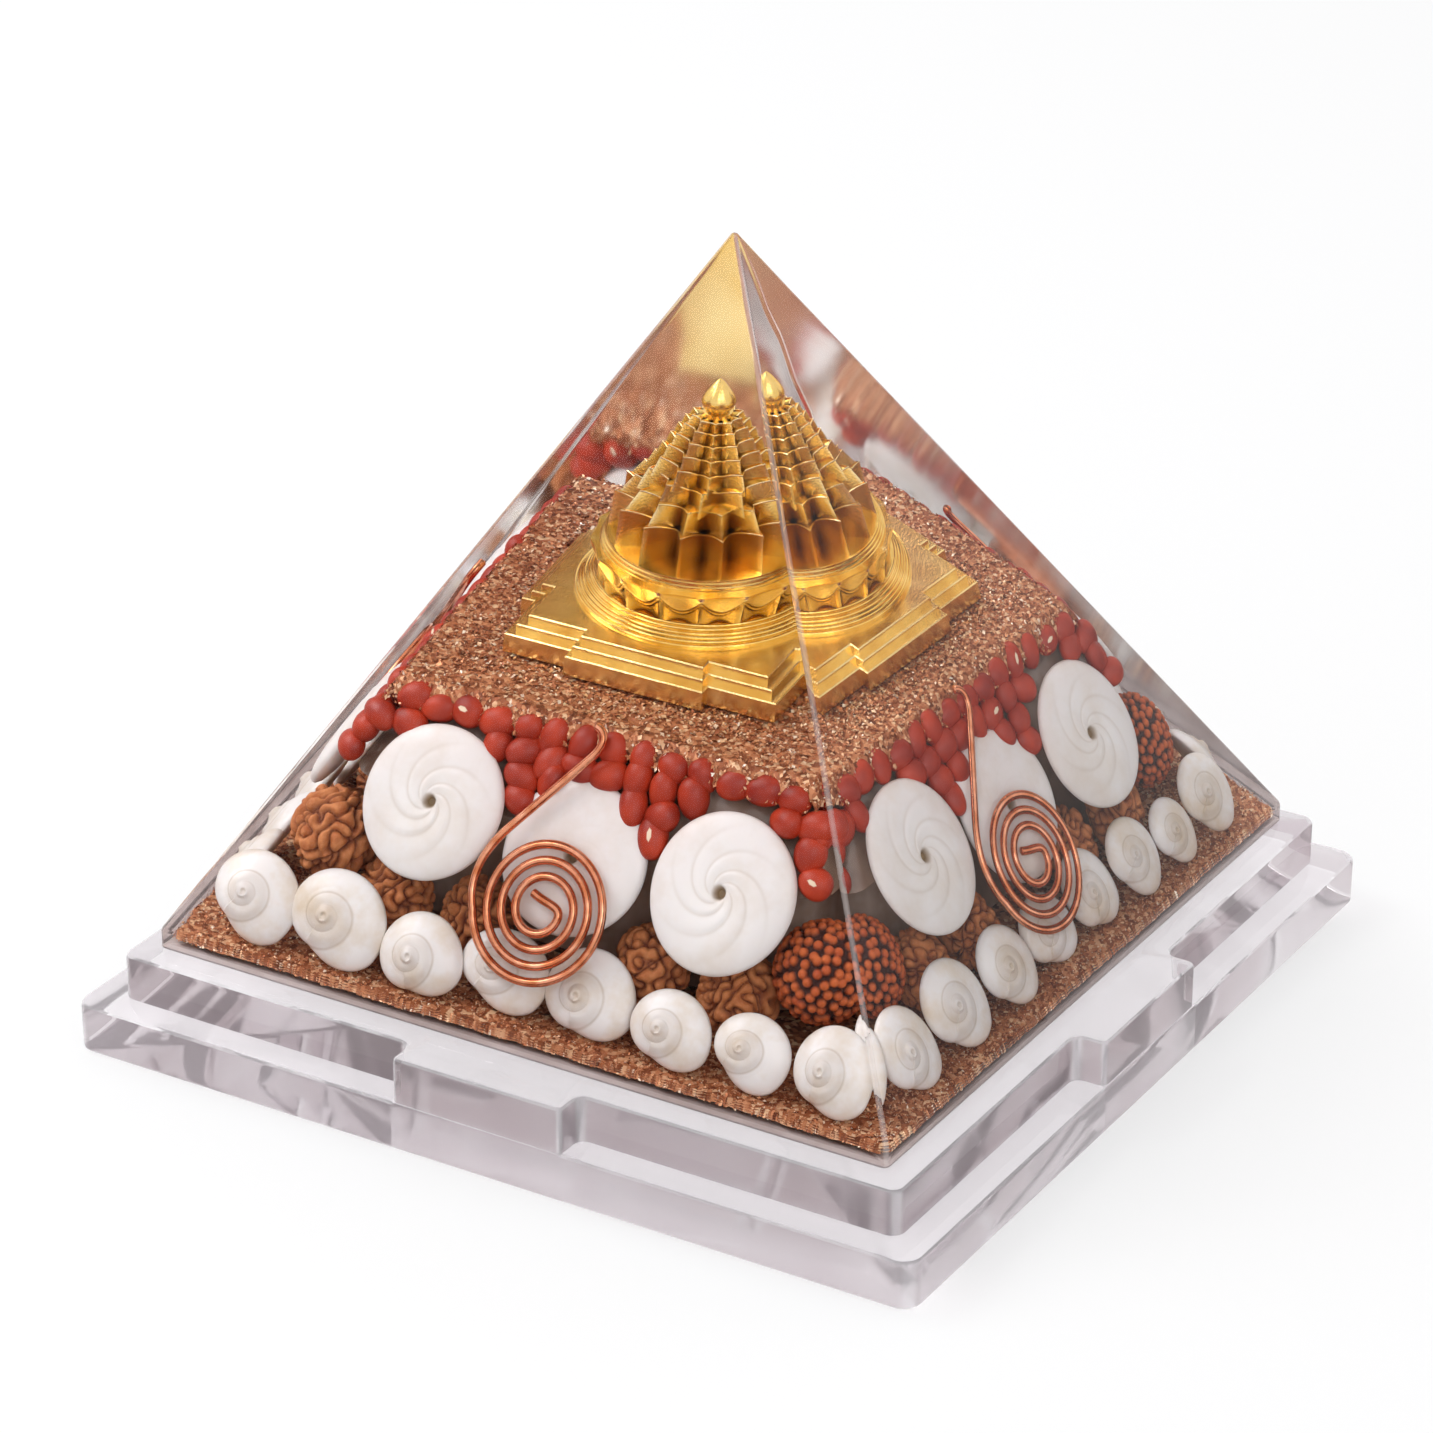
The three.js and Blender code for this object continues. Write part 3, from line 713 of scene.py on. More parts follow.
def starRings(radius, foot, points, turn, drop, hollow, shade, base, top, edge):
    # s runs from 0 at a point of the star to 1 in the hollow beside it. The flanks are flat, the points lean
    # out to the foot's radius, the top edge falls away from the point, and along it runs a thin rim. Also
    # gives the marks: a painted highlight along the rim and the points, and painted shade in the hollows
    steps = 8
    count = 2 * points * steps
    place = np.arange(count) / steps
    s = np.abs((place + 1) % 2 - 1)
    angle = (place / 2 + turn) * 2 * np.pi / points
    half = np.pi / points

    def level(z, point, inset=0.0):
        # the straight line from a point of this radius to the neighbouring hollow, at each angle
        reach = np.sin(half) / (np.sin(half * (1 - s)) / point + np.sin(half * s) / (radius * hollow))
        reach = reach * (1 - inset / radius)
        return np.column_stack([reach * np.cos(angle), reach * np.sin(angle), z + 0 * s])

    crest = top - drop * s ** 1.3
    middle = base + (crest - base) * 0.5
    # painted shade that deepens towards each hollow, and a painted highlight along each point's ridge
    dark = np.clip(s * 1.8 - 0.8, 0, 1)
    ridge = np.clip(1 - s * steps, 0, 1)
    plain, paintedHighlight = 0 * s, 0 * s - 0.8
    rings, marks = zip(
        (level(base, foot), dark * 0.5 + shade - ridge),
        (level(middle, (radius + foot) / 2), dark * 0.6 + shade - 0.2 - ridge),
        (level(crest - 2.2 * edge, radius), dark * 0.3 + shade - 0.3 - ridge * 0.5),
        (level(crest - 1.9 * edge, radius, -0.4 * edge), paintedHighlight),
        (level(crest - 0.4 * edge, radius, -0.4 * edge), paintedHighlight),
        (level(crest, radius, edge), paintedHighlight),
        (level(crest - 0.2 * edge, radius, 2 * edge), plain),
        (level(crest - 2 * edge, radius, 2.4 * edge), dark),
        (level(crest - 2 * edge, radius, 0.4 * radius), dark),
    )
    return np.stack(rings), np.stack(marks)


def yantraShape(s):
    # also gives each point's mark for the gilt: painted shade where above 0, painted highlight where below
    z = cadCorners("meru_yantra")[0][2]
    shapes, marks = [], []

    def take(shape, mark=0.0):
        shapes.append(shape)
        marks.append(np.full(len(shape[0]), mark))

    def takeMarked(rings, ringMarks):
        shapes.append(closedSkin(rings))
        marks.append(np.concatenate([ringMarks.reshape(-1), [0, 0]]))

    for step, height in enumerate(s["squareHeights"]):
        sunk = s["squareSunk"] if step else 0
        take(yantraSquare(s, step, z - sunk, height + sunk), s["squareMark"])
        z += height
    profile, height = drumProfile(s)
    take(turnedProfile(profile, z))
    z += (height - s["petalSunk"]) * mm
    takeMarked(*petalRings(s, z))
    z += s["petalHeight"] * mm
    take(turnedProfile(s["rim"], z))
    z += s["rim"][-1][1] * mm
    foot = s["tiers"][0][0] + s["firstLean"]
    for i, (radius, height, points, turn, drop) in enumerate(s["tiers"]):
        top = z + height * mm
        hollow, shade = s["starHollow"][i == 0], s["starShade"][i == 0]
        takeMarked(*starRings(radius * mm, foot * mm, points, turn, drop * mm, hollow, shade,
                              z - s["starSink"], top, s["starEdge"]))
        z, foot = top, radius - s["starStep"]
    take(turnedProfile(s["bulb"], z, 64))
    return together(shapes), np.concatenate(marks)


shape, marks = yantraShape(yantra)
piece = makePiece("meruYantra", shape, giltMaterial(), ("meru_yantra",), 25)
markPoints(piece, "hollow", marks)
print("yantra made")


# Copper flake beds

bed = {
    "grit": 0.35 * mm,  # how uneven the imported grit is
    "gritWaves": 16,
    "gritRate": 1100,  # of its finest waves, in radians a metre
    "wander": 0.7 * mm,  # of its edge, in and out
    "wanderRates": (140, 310, 720, 1500),
    "cells": 170,
    "lip": (  # share of its drop, and how far it is set back
        (0.35, -0.2 * mm), (0.8, -0.1 * mm), (1.0, 0.5 * mm), (0.7, 1.4 * mm),
    ),
    "lipBack": 2.4 * mm,  # how far inside the edge the underside starts
    "flakeTilt": 0.28,
    "flakeLift": 0.12 * mm,  # of a flake's sides over its ends
    "steepLean": (0.5, 0.86),  # out and down, of a flake against the side
    "scatter": (-0.15 * mm, 0.3 * mm),  # in the height of the loose flakes
    "proud": 0.25 * mm,  # of the flakes against the side
    "rim": 0.84,  # the share of the way out at which flakes may lie against the side
    "fringe": 1.15,  # how far these reach down, in drops of the edge
    "upper": {
        "node": "copper_bed_upper",
        "flakes": 17000,
        "length": (0.6 * mm, 1.7 * mm),
        "inner": 24 * mm,  # how far out the flakes start, because what lies further in is hidden
        "spill": 0.55,  # share of the outer flakes that lie against the side
        "sink": 0.5 * mm,  # of its top, under the loose flakes
        "hang": 4.3 * mm,  # how far the edge hangs down over the seeds
        "flare": 2.6 * mm,  # and how far it comes out there
        "edge": 43.9 * mm,
        "seed": 11,
    },
    "lower": {
        "node": "copper_bed_lower",
        "flakes": 26000,
        "length": (0.4 * mm, 1.2 * mm),
        "inner": 55 * mm,
        "spill": 0.1,
        "sink": 0.2 * mm,
        "hang": 0.2 * mm,
        "flare": 0.1 * mm,
        "edge": 75.2 * mm,
        "seed": 12,
    },
}


def flakes(rng, places, steep, length, s):
    # each flake is a four-sided chip bent along its middle; steep ones lie against the bed's side
    count = len(places)
    long = (length[0] + (length[1] - length[0]) * rng.beta(1.2, 2.6, count))[:, None]
    wide = long * rng.uniform(0.4, 0.8, count)[:, None]
    turn = rng.uniform(0, 2 * np.pi, count)
    along = np.stack([np.cos(turn), np.sin(turn), rng.normal(0, s["flakeTilt"], count)], -1)
    aside = np.stack([-np.sin(turn), np.cos(turn), rng.normal(0, s["flakeTilt"], count)], -1)
    # against the side a flake's inward direction becomes its upward one
    out = np.where(np.abs(places[:, :1]) > np.abs(places[:, 1:2]), [[1.0, 0, 0]], [[0, 1.0, 0]])
    out = out * np.sign((out * places).sum(1))[:, None]
    outer, lower = s["steepLean"]
    for way in (along, aside):
        outward = (way * out).sum(1)[:, None]
        leaning = way - out * outward + (out * outer - [[0, 0, lower]]) * outward + out * way[:, 2:] * lower
        way[steep] = leaning[steep]
        way /= np.linalg.norm(way, axis=1)[:, None]
    lift = np.where(steep[:, None], out, [[0, 0, 1.0]]) * s["flakeLift"]
    corners = [places + along * long / 2, places + aside * wide / 2 + lift,
               places - along * long / 2 * 0.9, places - aside * wide / 2 + lift]
    points = np.stack(corners, 1).reshape(-1, 3)
    first = np.arange(count)[:, None] * 4
    faces = np.concatenate([first + [0, 1, 2], first + [0, 2, 3]])
    return points, faces.tolist()


def bedEdge(along, seed, s):
    # how far the bed's edge lies inside its straight line, at a place along it
    rng = np.random.default_rng(seed)
    rates = s["wanderRates"]
    waves = sum(np.sin(along * rate + phase) for rate, phase in zip(rates, rng.uniform(0, 6, len(rates))))
    return s["wander"] * (1 + waves / len(rates))


def bedShape(low, high, b, s):
    # a closed slab. Its top is a sheet of cells, uneven by a sum of waves; from its border a ragged lip hangs
    # down and outwards, and the underside starts behind that lip
    cells = s["cells"]
    half = b["edge"]
    rng = np.random.default_rng(b["seed"])
    t = np.linspace(-1, 1, cells + 1)
    t = np.sign(t) * (1 - (1 - np.abs(t)) ** 1.25)
    u, v = np.meshgrid(t, t, indexing="ij")
    reach = np.maximum(abs(u), abs(v))
    shrink = half - bedEdge(np.where(abs(u) > abs(v), v, u) * half, b["seed"], s) * reach
    x, y = u * shrink, v * shrink
    waves = rng.uniform(-s["gritRate"], s["gritRate"], (s["gritWaves"], 3))
    bumps = sum(np.sin(x * across + y * up + phase) for across, up, phase in waves)
    top = high - b["sink"] - s["grit"] * (0.5 + bumps / s["gritWaves"])
    n = cells + 1
    upper = np.stack([x, y, top], -1).reshape(-1, 3)
    i, j = np.meshgrid(np.arange(cells), np.arange(cells), indexing="ij")
    first = (i * n + j).reshape(-1)
    faces = np.stack([first, first + n, first + n + 1, first + 1], -1).tolist()
    rim = np.concatenate([np.arange(0, n * cells, n), n * cells + np.arange(cells),
                          n * n - 1 - np.arange(0, n * cells, n), cells - np.arange(cells)])
    edge = upper[rim]
    along = np.where(abs(edge[:, 0]) > abs(edge[:, 1]), edge[:, 1], edge[:, 0])
    ragged = bedEdge(along * 1.7, b["seed"] + 3, s)
    drop = b["hang"] * (0.62 + 0.3 * ragged / s["wander"])

    def ring(share, back):
        grown = 1 + (b["flare"] * share - back) / half
        return np.column_stack([edge[:, :2] * grown, edge[:, 2] - drop * share])

    rings = [ring(share, back) for share, back in s["lip"]]
    rings.append(ring(0, s["lipBack"]) * [1, 1, 0] + [0, 0, low])
    start = n * n
    k = np.arange(len(rim))
    m = (k + 1) % len(rim)
    before = rim
    for row in range(len(rings)):
        here = start + row * len(rim) + k
        faces += np.stack([here, here[m], before[m], before[k]], -1).tolist()
        before = here
    faces.append(before[::-1].tolist())
    return np.concatenate([upper, *rings]), faces


def makeBed(name, s):
    b = s[name]
    low, high = cadCorners(b["node"])[:, 2]
    makePiece(name + "Bed", bedShape(low, high, b, s), groundMaterial(), (b["node"],), 180)
    half = b["edge"]
    rng = np.random.default_rng(b["seed"] + 1)
    xy = rng.uniform(-half, half, (b["flakes"] * 4, 2))
    xy = xy[np.abs(xy).max(1) > b["inner"]][:b["flakes"]]
    reach = np.abs(xy).max(1)
    steep = rng.uniform(size=len(xy)) < b["spill"] * (reach > half * s["rim"])
    along = np.where(np.abs(xy[:, 0]) > np.abs(xy[:, 1]), xy[:, 1], xy[:, 0])
    inside = (half - bedEdge(along, b["seed"], s)) / half
    z = high - b["sink"] + rng.uniform(*s["scatter"], len(xy))
    # down the hanging edge, thinning out below it
    share = rng.beta(1.1, 1.2, len(xy)) * s["fringe"]
    down = inside * (half / reach) * (1 + (b["flare"] * share + s["proud"]) / half)
    xy *= np.where(steep, down, inside)[:, None]
    z = np.where(steep, high - b["sink"] - b["hang"] * share, z)
    shape = flakes(rng, np.column_stack([xy, z]), steep, b["length"], s)
    loose = makePiece(name + "Flakes", shape, flakeMaterial(), (), 180)
    markPoints(loose, "shade", np.repeat(rng.beta(1.6, 1.7, len(xy)), 4))


makeBed("upper", bed)
makeBed("lower", bed)
print("copper beds made")


# Copper wire spirals

spiral = {
    "wireRadius": 0.85 * mm,
    "middle": (-1.48 * mm, 41.7 * mm),  # along the face and above the ground
    "start": 3.9 * mm,  # radius of the first turn's start, and of the last one's end
    "end": 13.9 * mm,
    "from": -10,  # degrees at the start, and at the end
    "to": -1247,
    "inner": ((-2.4 * mm, 2.5 * mm), (1.1 * mm, 1 * mm), (3.9 * mm, 1.5 * mm)),  # the straight end inside it
    "outer": ((-16 * mm, 1.5 * mm), (-14.8 * mm, 7.4 * mm), (-10.4 * mm, 12.9 * mm)),
    "lead": (1.9 * mm, 28.8 * mm),  # where its straight stretch ends
    "hook": ((3.3 * mm, 30.7 * mm), (3.9 * mm, 33.3 * mm), (1.0 * mm, 34.1 * mm)),
    "depth": 2.1 * mm,  # of its middle behind the face
    "sides": 14,
}


def curve(points, count):
    # a smooth curve of three pulls from the first point to the last
    a, b, c, d = (np.array(point) for point in points)
    q = np.linspace(0, 1, count)[1:, None]
    return (1 - q) ** 3 * a + 3 * q * (1 - q) ** 2 * b + 3 * q ** 2 * (1 - q) * c + q ** 3 * d


def spiralLine(s):
    # a short straight end, a spiral wound clockwise and outwards at a steady rate, then a lead that bends
    # round, runs straight up across the face and ends in a small hook
    t = np.linspace(0, 1, 200)
    radius = s["start"] + (s["end"] - s["start"]) * t
    angle = np.radians(s["from"] + (s["to"] - s["from"]) * t)
    turns = np.stack([radius * np.cos(angle), radius * np.sin(angle)], -1)
    start, end = np.array(s["inner"][0]), np.array(s["lead"])
    inner = curve((start, *s["inner"][1:], turns[0]), 16)[:-1]
    outer = curve((turns[-1], *s["outer"]), 24)
    straight = [outer[-1] + (end - outer[-1]) * share for share in (0.25, 0.5, 0.75, 1)]
    line = np.concatenate([[start], inner, turns, outer, straight, curve((end, *s["hook"]), 12)])
    return np.column_stack([line, np.zeros(len(line))])


def tubeRings(line, radius, sides):
    # a round tube about a flat line: each ring is square to the line, and small rings round off its ends
    endReach, endSize = 0.3, 0.6
    ahead = np.gradient(line, axis=0)
    ahead /= np.linalg.norm(ahead, axis=1)[:, None]
    before, after = line[0] - ahead[0] * radius * endReach, line[-1] + ahead[-1] * radius * endReach
    middle = np.concatenate([[before], line, [after]])
    along = np.concatenate([ahead[:1], ahead, ahead[-1:]])
    size = np.concatenate([[endSize], np.ones(len(line)), [endSize]]) * radius
    aside = np.stack([-along[:, 1], along[:, 0], 0 * along[:, 0]], -1)
    angle = np.arange(sides) * 2 * np.pi / sides
    ring = aside[:, None] * np.cos(angle)[None, :, None] + np.array([0, 0, 1]) * np.sin(angle)[None, :, None]
    return middle[:, None] + ring * size[:, None, None]


copper = copperMaterial()
for k, side in enumerate(sides):
    points, faces = closedSkin(tubeRings(spiralLine(spiral), spiral["wireRadius"], spiral["sides"]))
    placed = onFace(points, *spiral["middle"], spiral["depth"], k)
    node = "copper_spiral_" + side
    makePiece("copperSpiral" + side.title(), (placed, faces), copper, (node,), 50)
print("spirals made")


# Shell discs

disc = {
    "radius": 14.5 * mm,
    "thickness": 5.0 * mm,
    "arms": 6,
    "swirl": 0.16 * mm,
    "hole": 1.0 * mm,
    "funnel": 2.2 * mm,  # depth of the hole, and of the dish round it
    "dish": 0.3 * mm,
    "plainSwirl": 0.15,  # of the middle disc, which is smoother
    "aside": ((1.3, 1.6), (0.9, -2.3), (1.0, -0.1)),  # of each from its node, along and up the face, mm
}


def discShape(s, swirl, phase):
    # share runs from the hole over the rounded face to the rim, and back along the flat under side. The arms
    # are waves in the angle that are drawn round as they run out: each rises slowly and falls off in a step.
    # Also gives how far each point lies in the hole or at the foot of a step, from 0 to 1, a mark that
    # darkens
    # it: painted shade at the foot of each step, and the hole darker
    count = 210
    angle = np.arange(count) * 2 * np.pi / count
    half = s["thickness"] / 2
    hole = s["hole"] / s["radius"]
    share = (hole * 0.7 + (1 - hole * 0.7) * np.linspace(0, 1, 60) ** 0.9)[:, None]
    dome = half * (0.8 * np.maximum(1 - share ** 5, 0) ** 0.5 + 0.2 * (1 - share ** 2))
    wave = (angle * s["arms"] / (2 * np.pi) + 1.5 * np.log(share + 0.1) + 0.9 * share + phase) % 1
    arm = np.where(wave < 0.7, wave / 0.7, (1 - wave) / 0.3)
    arm = arm * arm * (3 - 2 * arm) - 0.5
    reach = np.clip((share - hole) * 10, 0, 1) * np.exp(-(share / 0.72) ** 4)
    funnel = s["funnel"] * np.exp(-(share / (hole * 1.15)) ** 6)
    funnel = funnel + s["dish"] * np.exp(-(share / (hole * 2.6)) ** 2)
    top = dome + swirl * arm * reach - funnel
    wobble = 1 + 0.012 * np.sin(2 * angle + phase * 6) + 0.008 * np.sin(3 * angle + phase * 9)
    out = s["radius"] * np.stack([wobble * np.cos(angle), wobble * np.sin(angle)], -1)
    face = np.concatenate([share[..., None] * out, top[..., None]], -1)
    under = ((0.12, -1), (0.4, -0.97), (0.7, -0.86), (0.9, -0.62), (0.985, -0.3), (1.0, -0.12))
    lower = [np.column_stack([at * out, np.full(count, level * half)]) for at, level in under]
    points, faces = closedSkin(np.concatenate([np.stack(lower), face[::-1]]))
    # painted shade along the foot of each arm's step
    line = np.exp(-(np.minimum(wave, 1 - wave) / 0.09) ** 2) * reach * 0.22 * swirl / s["swirl"]
    pit = np.exp(-(share / (hole * 1.2)) ** 4) + 0.16 * np.exp(-(share / (hole * 3)) ** 2)
    stainAndShade = np.concatenate([np.zeros(len(lower) * count), (line + pit)[::-1].reshape(-1), [0, 1]])
    return points, faces, np.clip(stainAndShade, 0, 1)


discWhite = shellMaterial("discShell", "e6ddd4")
rng = np.random.default_rng(3)
for k, side in enumerate(sides):
    for i in range(3):
        node = f"shell_disc_{side}_{i + 1}"
        middle = turned(cadCorners(node).mean(0)[None], -k)[0]
        swirl = disc["swirl"] * (disc["plainSwirl"] if i == 1 else 1)
        points, faces, pit = discShape(disc, swirl, rng.uniform())
        aside = np.array(disc["aside"][i]) * mm
        placed = turned(points @ faceAxes + middle + aside @ faceAxes[:2], k)
        name = f"shellDisc{side.title()}{i + 1}"
        piece = makePiece(name, (placed, faces), discWhite, (node,), 60)
        markPoints(piece, "hollow", pit)
print("discs made")


# Snail shells

snail = {
    "thickness": 5.6 * mm,
    "count": 8,
    "behindWire": (3, 4),
    "front": 1.5 * mm,  # depth of the rest behind the face
    "behind": 3.2 * mm,  # depth of the two behind the wire
    "growth": 2.07,  # of the radius in each turn
    "lip": 0.77,  # the share of the last turn at which the shell's mouth begins
    "spire": 0.55 * mm,  # how much higher each turn stands than the one outside it
    "bulge": 0.42 * mm,  # of each turn
    "rows": {  # middles along the face, widths and heights, mm
        "front": ((-61, 18.8, 17.2), (-42.8, 21, 18), (-23.8, 17.8, 14.8), (-7, 18.9, 14.9),
                  (11.1, 18.9, 16), (28.9, 16.7, 14), (45.4, 15.6, 14), (61.6, 15.8, 16)),
        "right": ((-56.5, 16.5, 16.6), (-38.8, 18.4, 17.6), (-20.5, 16.3, 16), (-3.9, 16.5, 14),
                  (13, 16, 15.8), (29, 15.7, 16), (43.8, 13.4, 13.8), (59, 16.5, 16.6)),
    },
    "ends": {"back": (-63.5, 69.5), "left": (-63.5, 63.2)},  # mm, of the rows the photograph doesn't show
    "height": 15.8,  # mm, of the shells in these
    "overlap": 0.6,  # mm
    "mouth": math.radians(-110),  # where a shell's turns end, and how much that varies
    "turnSpread": 0.35,
    "clear": 0.3 * mm,  # above the lower bed
}


def snailShape(s, turn, lean):
    # a shell seen from above its spire. Its edge and the groove between its turns are one spiral, wound
    # clockwise outwards, that grows by the same factor in each turn; past the lip the edge falls back to
    # where the groove begins. inner counts turns from the edge inwards, and each turn is round between its
    # grooves. Also gives each point's darkening, from 0 to 1: painted shade along the groove, and the inner
    # turns a little darker
    count = 120
    angle = np.arange(count) * 2 * np.pi / count
    grown = ((turn - angle) % (2 * np.pi)) / (2 * np.pi)
    fall = np.clip((grown - s["lip"]) / (1 - s["lip"]), 0, 1)
    fall = fall * fall * (3 - 2 * fall)
    rim = s["growth"] ** np.minimum(grown, s["lip"]) * (1 - fall) + fall
    v = (np.linspace(0.012, 1, 50) ** 0.85)[:, None]
    radius = v * rim
    half = s["thickness"] / 2
    inner = np.clip(grown - np.log(radius) / math.log(s["growth"]), 0, 4)
    between = inner % 1
    inside = np.clip((inner - 0.75) * 4, 0, 1)
    bulge = 4 * between * (1 - between) * np.minimum(radius * 1.6, 1)
    dome = half * 2 * ((1 - v ** 2.6) ** 0.55 * 0.8 - 0.3)
    top = dome + s["spire"] * np.minimum(inner, 3.4) * inside * np.minimum(radius * 6, 1)
    top = top + s["spire"] * 3.0 * np.exp(-(radius / 0.16) ** 2) + s["bulge"] * (bulge - 1) * inside
    tilt = lean * half * 0.25 * (1 - v ** 3) * np.cos(angle - turn) * v
    face = np.stack([radius * np.cos(angle), radius * np.sin(angle), (top + tilt) / half], -1)
    under = ((0.35, -1), (0.68, -0.95), (0.9, -0.85), (0.985, -0.72))
    lower = [np.column_stack([at * rim * np.cos(angle), at * rim * np.sin(angle), np.full(count, level)])
             for at, level in under]
    points, faces = closedSkin(np.concatenate([np.stack(lower), face[::-1]]))
    low, high = points.min(0), points.max(0)
    points = (points - (low + high) / 2) / ((high - low) / 2)
    # painted shade along the groove between the turns
    line = np.exp(-(np.minimum(between, 1 - between) / 0.07) ** 2) * inside * 0.4
    warm = np.clip((inner - 0.9) * 3, 0, 1) * 0.16
    stainAndShade = np.concatenate([np.zeros(len(lower) * count), np.maximum(line, warm)[::-1].reshape(-1), [0, 0.3]])
    return points, faces, stainAndShade


snailWhite = shellMaterial("snailShell", "d9c6ab")
rng = np.random.default_rng(5)
for k, side in enumerate(sides):
    node = "snail_shells_" + side
    low = cadCorners(node)[0][2]
    if side in snail["rows"]:
        row = snail["rows"][side]
    else:
        start, end = snail["ends"][side]
        pitch = (end - start) / snail["count"]
        row = [(start + (i + 0.5) * pitch, pitch + snail["overlap"], snail["height"])
               for i in range(snail["count"])]
    shapes, stainAndShadeMarks = [], []
    for i, (x, wide, tall) in enumerate(row):
        points, faces, stainAndShade = snailShape(snail, snail["mouth"] + rng.normal(0, snail["turnSpread"]),
                                          rng.uniform(-1, 1))
        size = np.array([wide * mm, tall * mm, snail["thickness"]]) / 2
        depth = (snail["behind"] if i in snail["behindWire"] else snail["front"]) + size[2]
        level = low + size[1] * math.sin(faceAngle) + snail["clear"]
        shapes.append((onFace(points * size, x * mm, level, depth, k), faces))
        stainAndShadeMarks.append(stainAndShade)
    piece = makePiece("snailShells" + side.title(), together(shapes), snailWhite, (node,), 60)
    markPoints(piece, "hollow", np.concatenate(stainAndShadeMarks))
print("snail shells made")


# Rudraksha beads

rudraksha = {
    "waves": 40,
    "coarsest": 11,  # waves of the wrinkles in a ball of radius 1, from the least to the most
    "finest": 18,
    "grooves": 5,
    "relief": 0.2,  # of the radius
    "kinds": 3,
    "knobs": 230,  # on a corner bead
    "knobRelief": 0.12,
    "knobScatter": 0.035,
    "knobbed": ("front", "right"),  # whose corner beads are knobbed
    "scale": 1.03,  # of the node's own radius
    "cornerScale": 1.13,
    "cornerDrop": 1.5 * mm,
}


def ballAngles(rows, columns):
    # heights without the poles, and places round
    up = np.linspace(-1, 1, rows + 2)[1:-1] * np.pi / 2
    return up[:, None], np.arange(columns) * 2 * np.pi / columns


def ballWays(rows, columns):
    up, around = ballAngles(rows, columns)
    return np.stack([np.cos(up) * np.cos(around), np.cos(up) * np.sin(around), np.sin(up) + 0 * around], -1)


def beadShape(s, seed):
    # a ball under winding ridges: waves of nearly one length, in scattered directions, are added up, and a
    # crevice runs wherever their sum is nothing. Five grooves run from pole to pole. Also gives how deep each
    # point lies, from 0 to 1
    rng = np.random.default_rng(seed)
    rows, columns = 84, 150
    ways = ballWays(rows, columns)
    up, around = ballAngles(rows, columns)
    count = s["waves"]
    heading = rng.normal(size=(count, 3))
    heading *= (rng.uniform(s["coarsest"], s["finest"], count) / np.linalg.norm(heading, axis=1))[:, None]
    wave = np.cos(ways @ heading.T + rng.uniform(0, 2 * np.pi, count)).sum(-1) / math.sqrt(count / 2)
    ridge = np.minimum(np.abs(wave), 1) ** 0.6
    seam = np.exp(-(np.abs(np.sin(around * s["grooves"] / 2)) * np.cos(up) / 0.1) ** 1.3)
    hollow = np.clip(np.maximum(1 - ridge, seam * 0.8), 0, 1)
    size = 1 - s["relief"] * hollow + 0.04 * np.clip(np.abs(wave) - 0.6, 0, 1.5)
    points, faces = closedSkin(ways * size[..., None] * [1, 1, 0.96])
    return points / np.abs(points).max(), faces, np.concatenate([hollow.reshape(-1), [1, 1]])


def knobbedShape(s, seed):
    # a ball of round knobs: places are spread evenly over it, each is pushed a little aside, and the height
    # falls with the distance to the nearest. Also gives how deep each point lies, from 0 to 1
    rng = np.random.default_rng(seed)
    ways = ballWays(100, 180)
    count = s["knobs"]
    level = 1 - (2 * np.arange(count) + 1) / count
    angle = np.arange(count) * math.pi * (3 - math.sqrt(5))
    flat = np.sqrt(1 - level ** 2)
    knobs = np.stack([flat * np.cos(angle), flat * np.sin(angle), level], -1)
    knobs += rng.normal(0, s["knobScatter"], (count, 3))
    knobs /= np.linalg.norm(knobs, axis=1)[:, None]
    far = np.arccos(np.clip((ways @ knobs.T).max(-1), -1, 1)) / math.sqrt(4 / count)
    hollow = np.clip(far * 1.05, 0, 1) ** 3
    points, faces = closedSkin(ways * (1 - s["knobRelief"] * hollow)[..., None])
    return points / np.abs(points).max(), faces, np.concatenate([hollow.reshape(-1), [0.5, 0.5]])


def tumbled(rng):
    # a random turn, as three axes
    q = rng.normal(size=4)
    w, x, y, z = q / np.linalg.norm(q)
    return np.array([
        [1 - 2 * (y * y + z * z), 2 * (x * y - z * w), 2 * (x * z + y * w)],
        [2 * (x * y + z * w), 1 - 2 * (x * x + z * z), 2 * (y * z - x * w)],
        [2 * (x * z - y * w), 2 * (y * z + x * w), 1 - 2 * (x * x + y * y)],
    ])


# colours of the lit ridges, then the painted shade of the crevices
beadSkin = beadMaterial("rudraksha", "b0602f", "d98f58", "6a2c12")
nearSkin = beadMaterial("rudrakshaRed", "b0481c", "cf6a30", "3a1206")
kinds = [beadShape(rudraksha, 20 + kind) for kind in range(rudraksha["kinds"])]
knobbed = knobbedShape(rudraksha, 30)
rng = np.random.default_rng(9)
for k, side in enumerate(sides):
    for i, name in enumerate(["1", "2", "3", "4", "corner"]):
        corner = name == "corner"
        node = f"rudraksha_corner_{side}" if corner else f"rudraksha_{side}_{name}"
        low, high = cadCorners(node)
        near = corner and side in rudraksha["knobbed"]
        points, faces, hollow = knobbed if near else kinds[(i + k) % len(kinds)]
        radius = (high - low).min() / 2 * rudraksha["cornerScale" if corner else "scale"]
        placed = points @ tumbled(rng) * radius + (low + high) / 2
        if corner:
            placed[:, 2] -= rudraksha["cornerDrop"]
        skin = nearSkin if near else beadSkin
        title = f"rudraksha{side.title()}{name.title()}"
        piece = makePiece(title, (placed, faces), skin, (node,), 180)
        markPoints(piece, "hollow", hollow)
print("rudraksha beads made")


# Red seeds

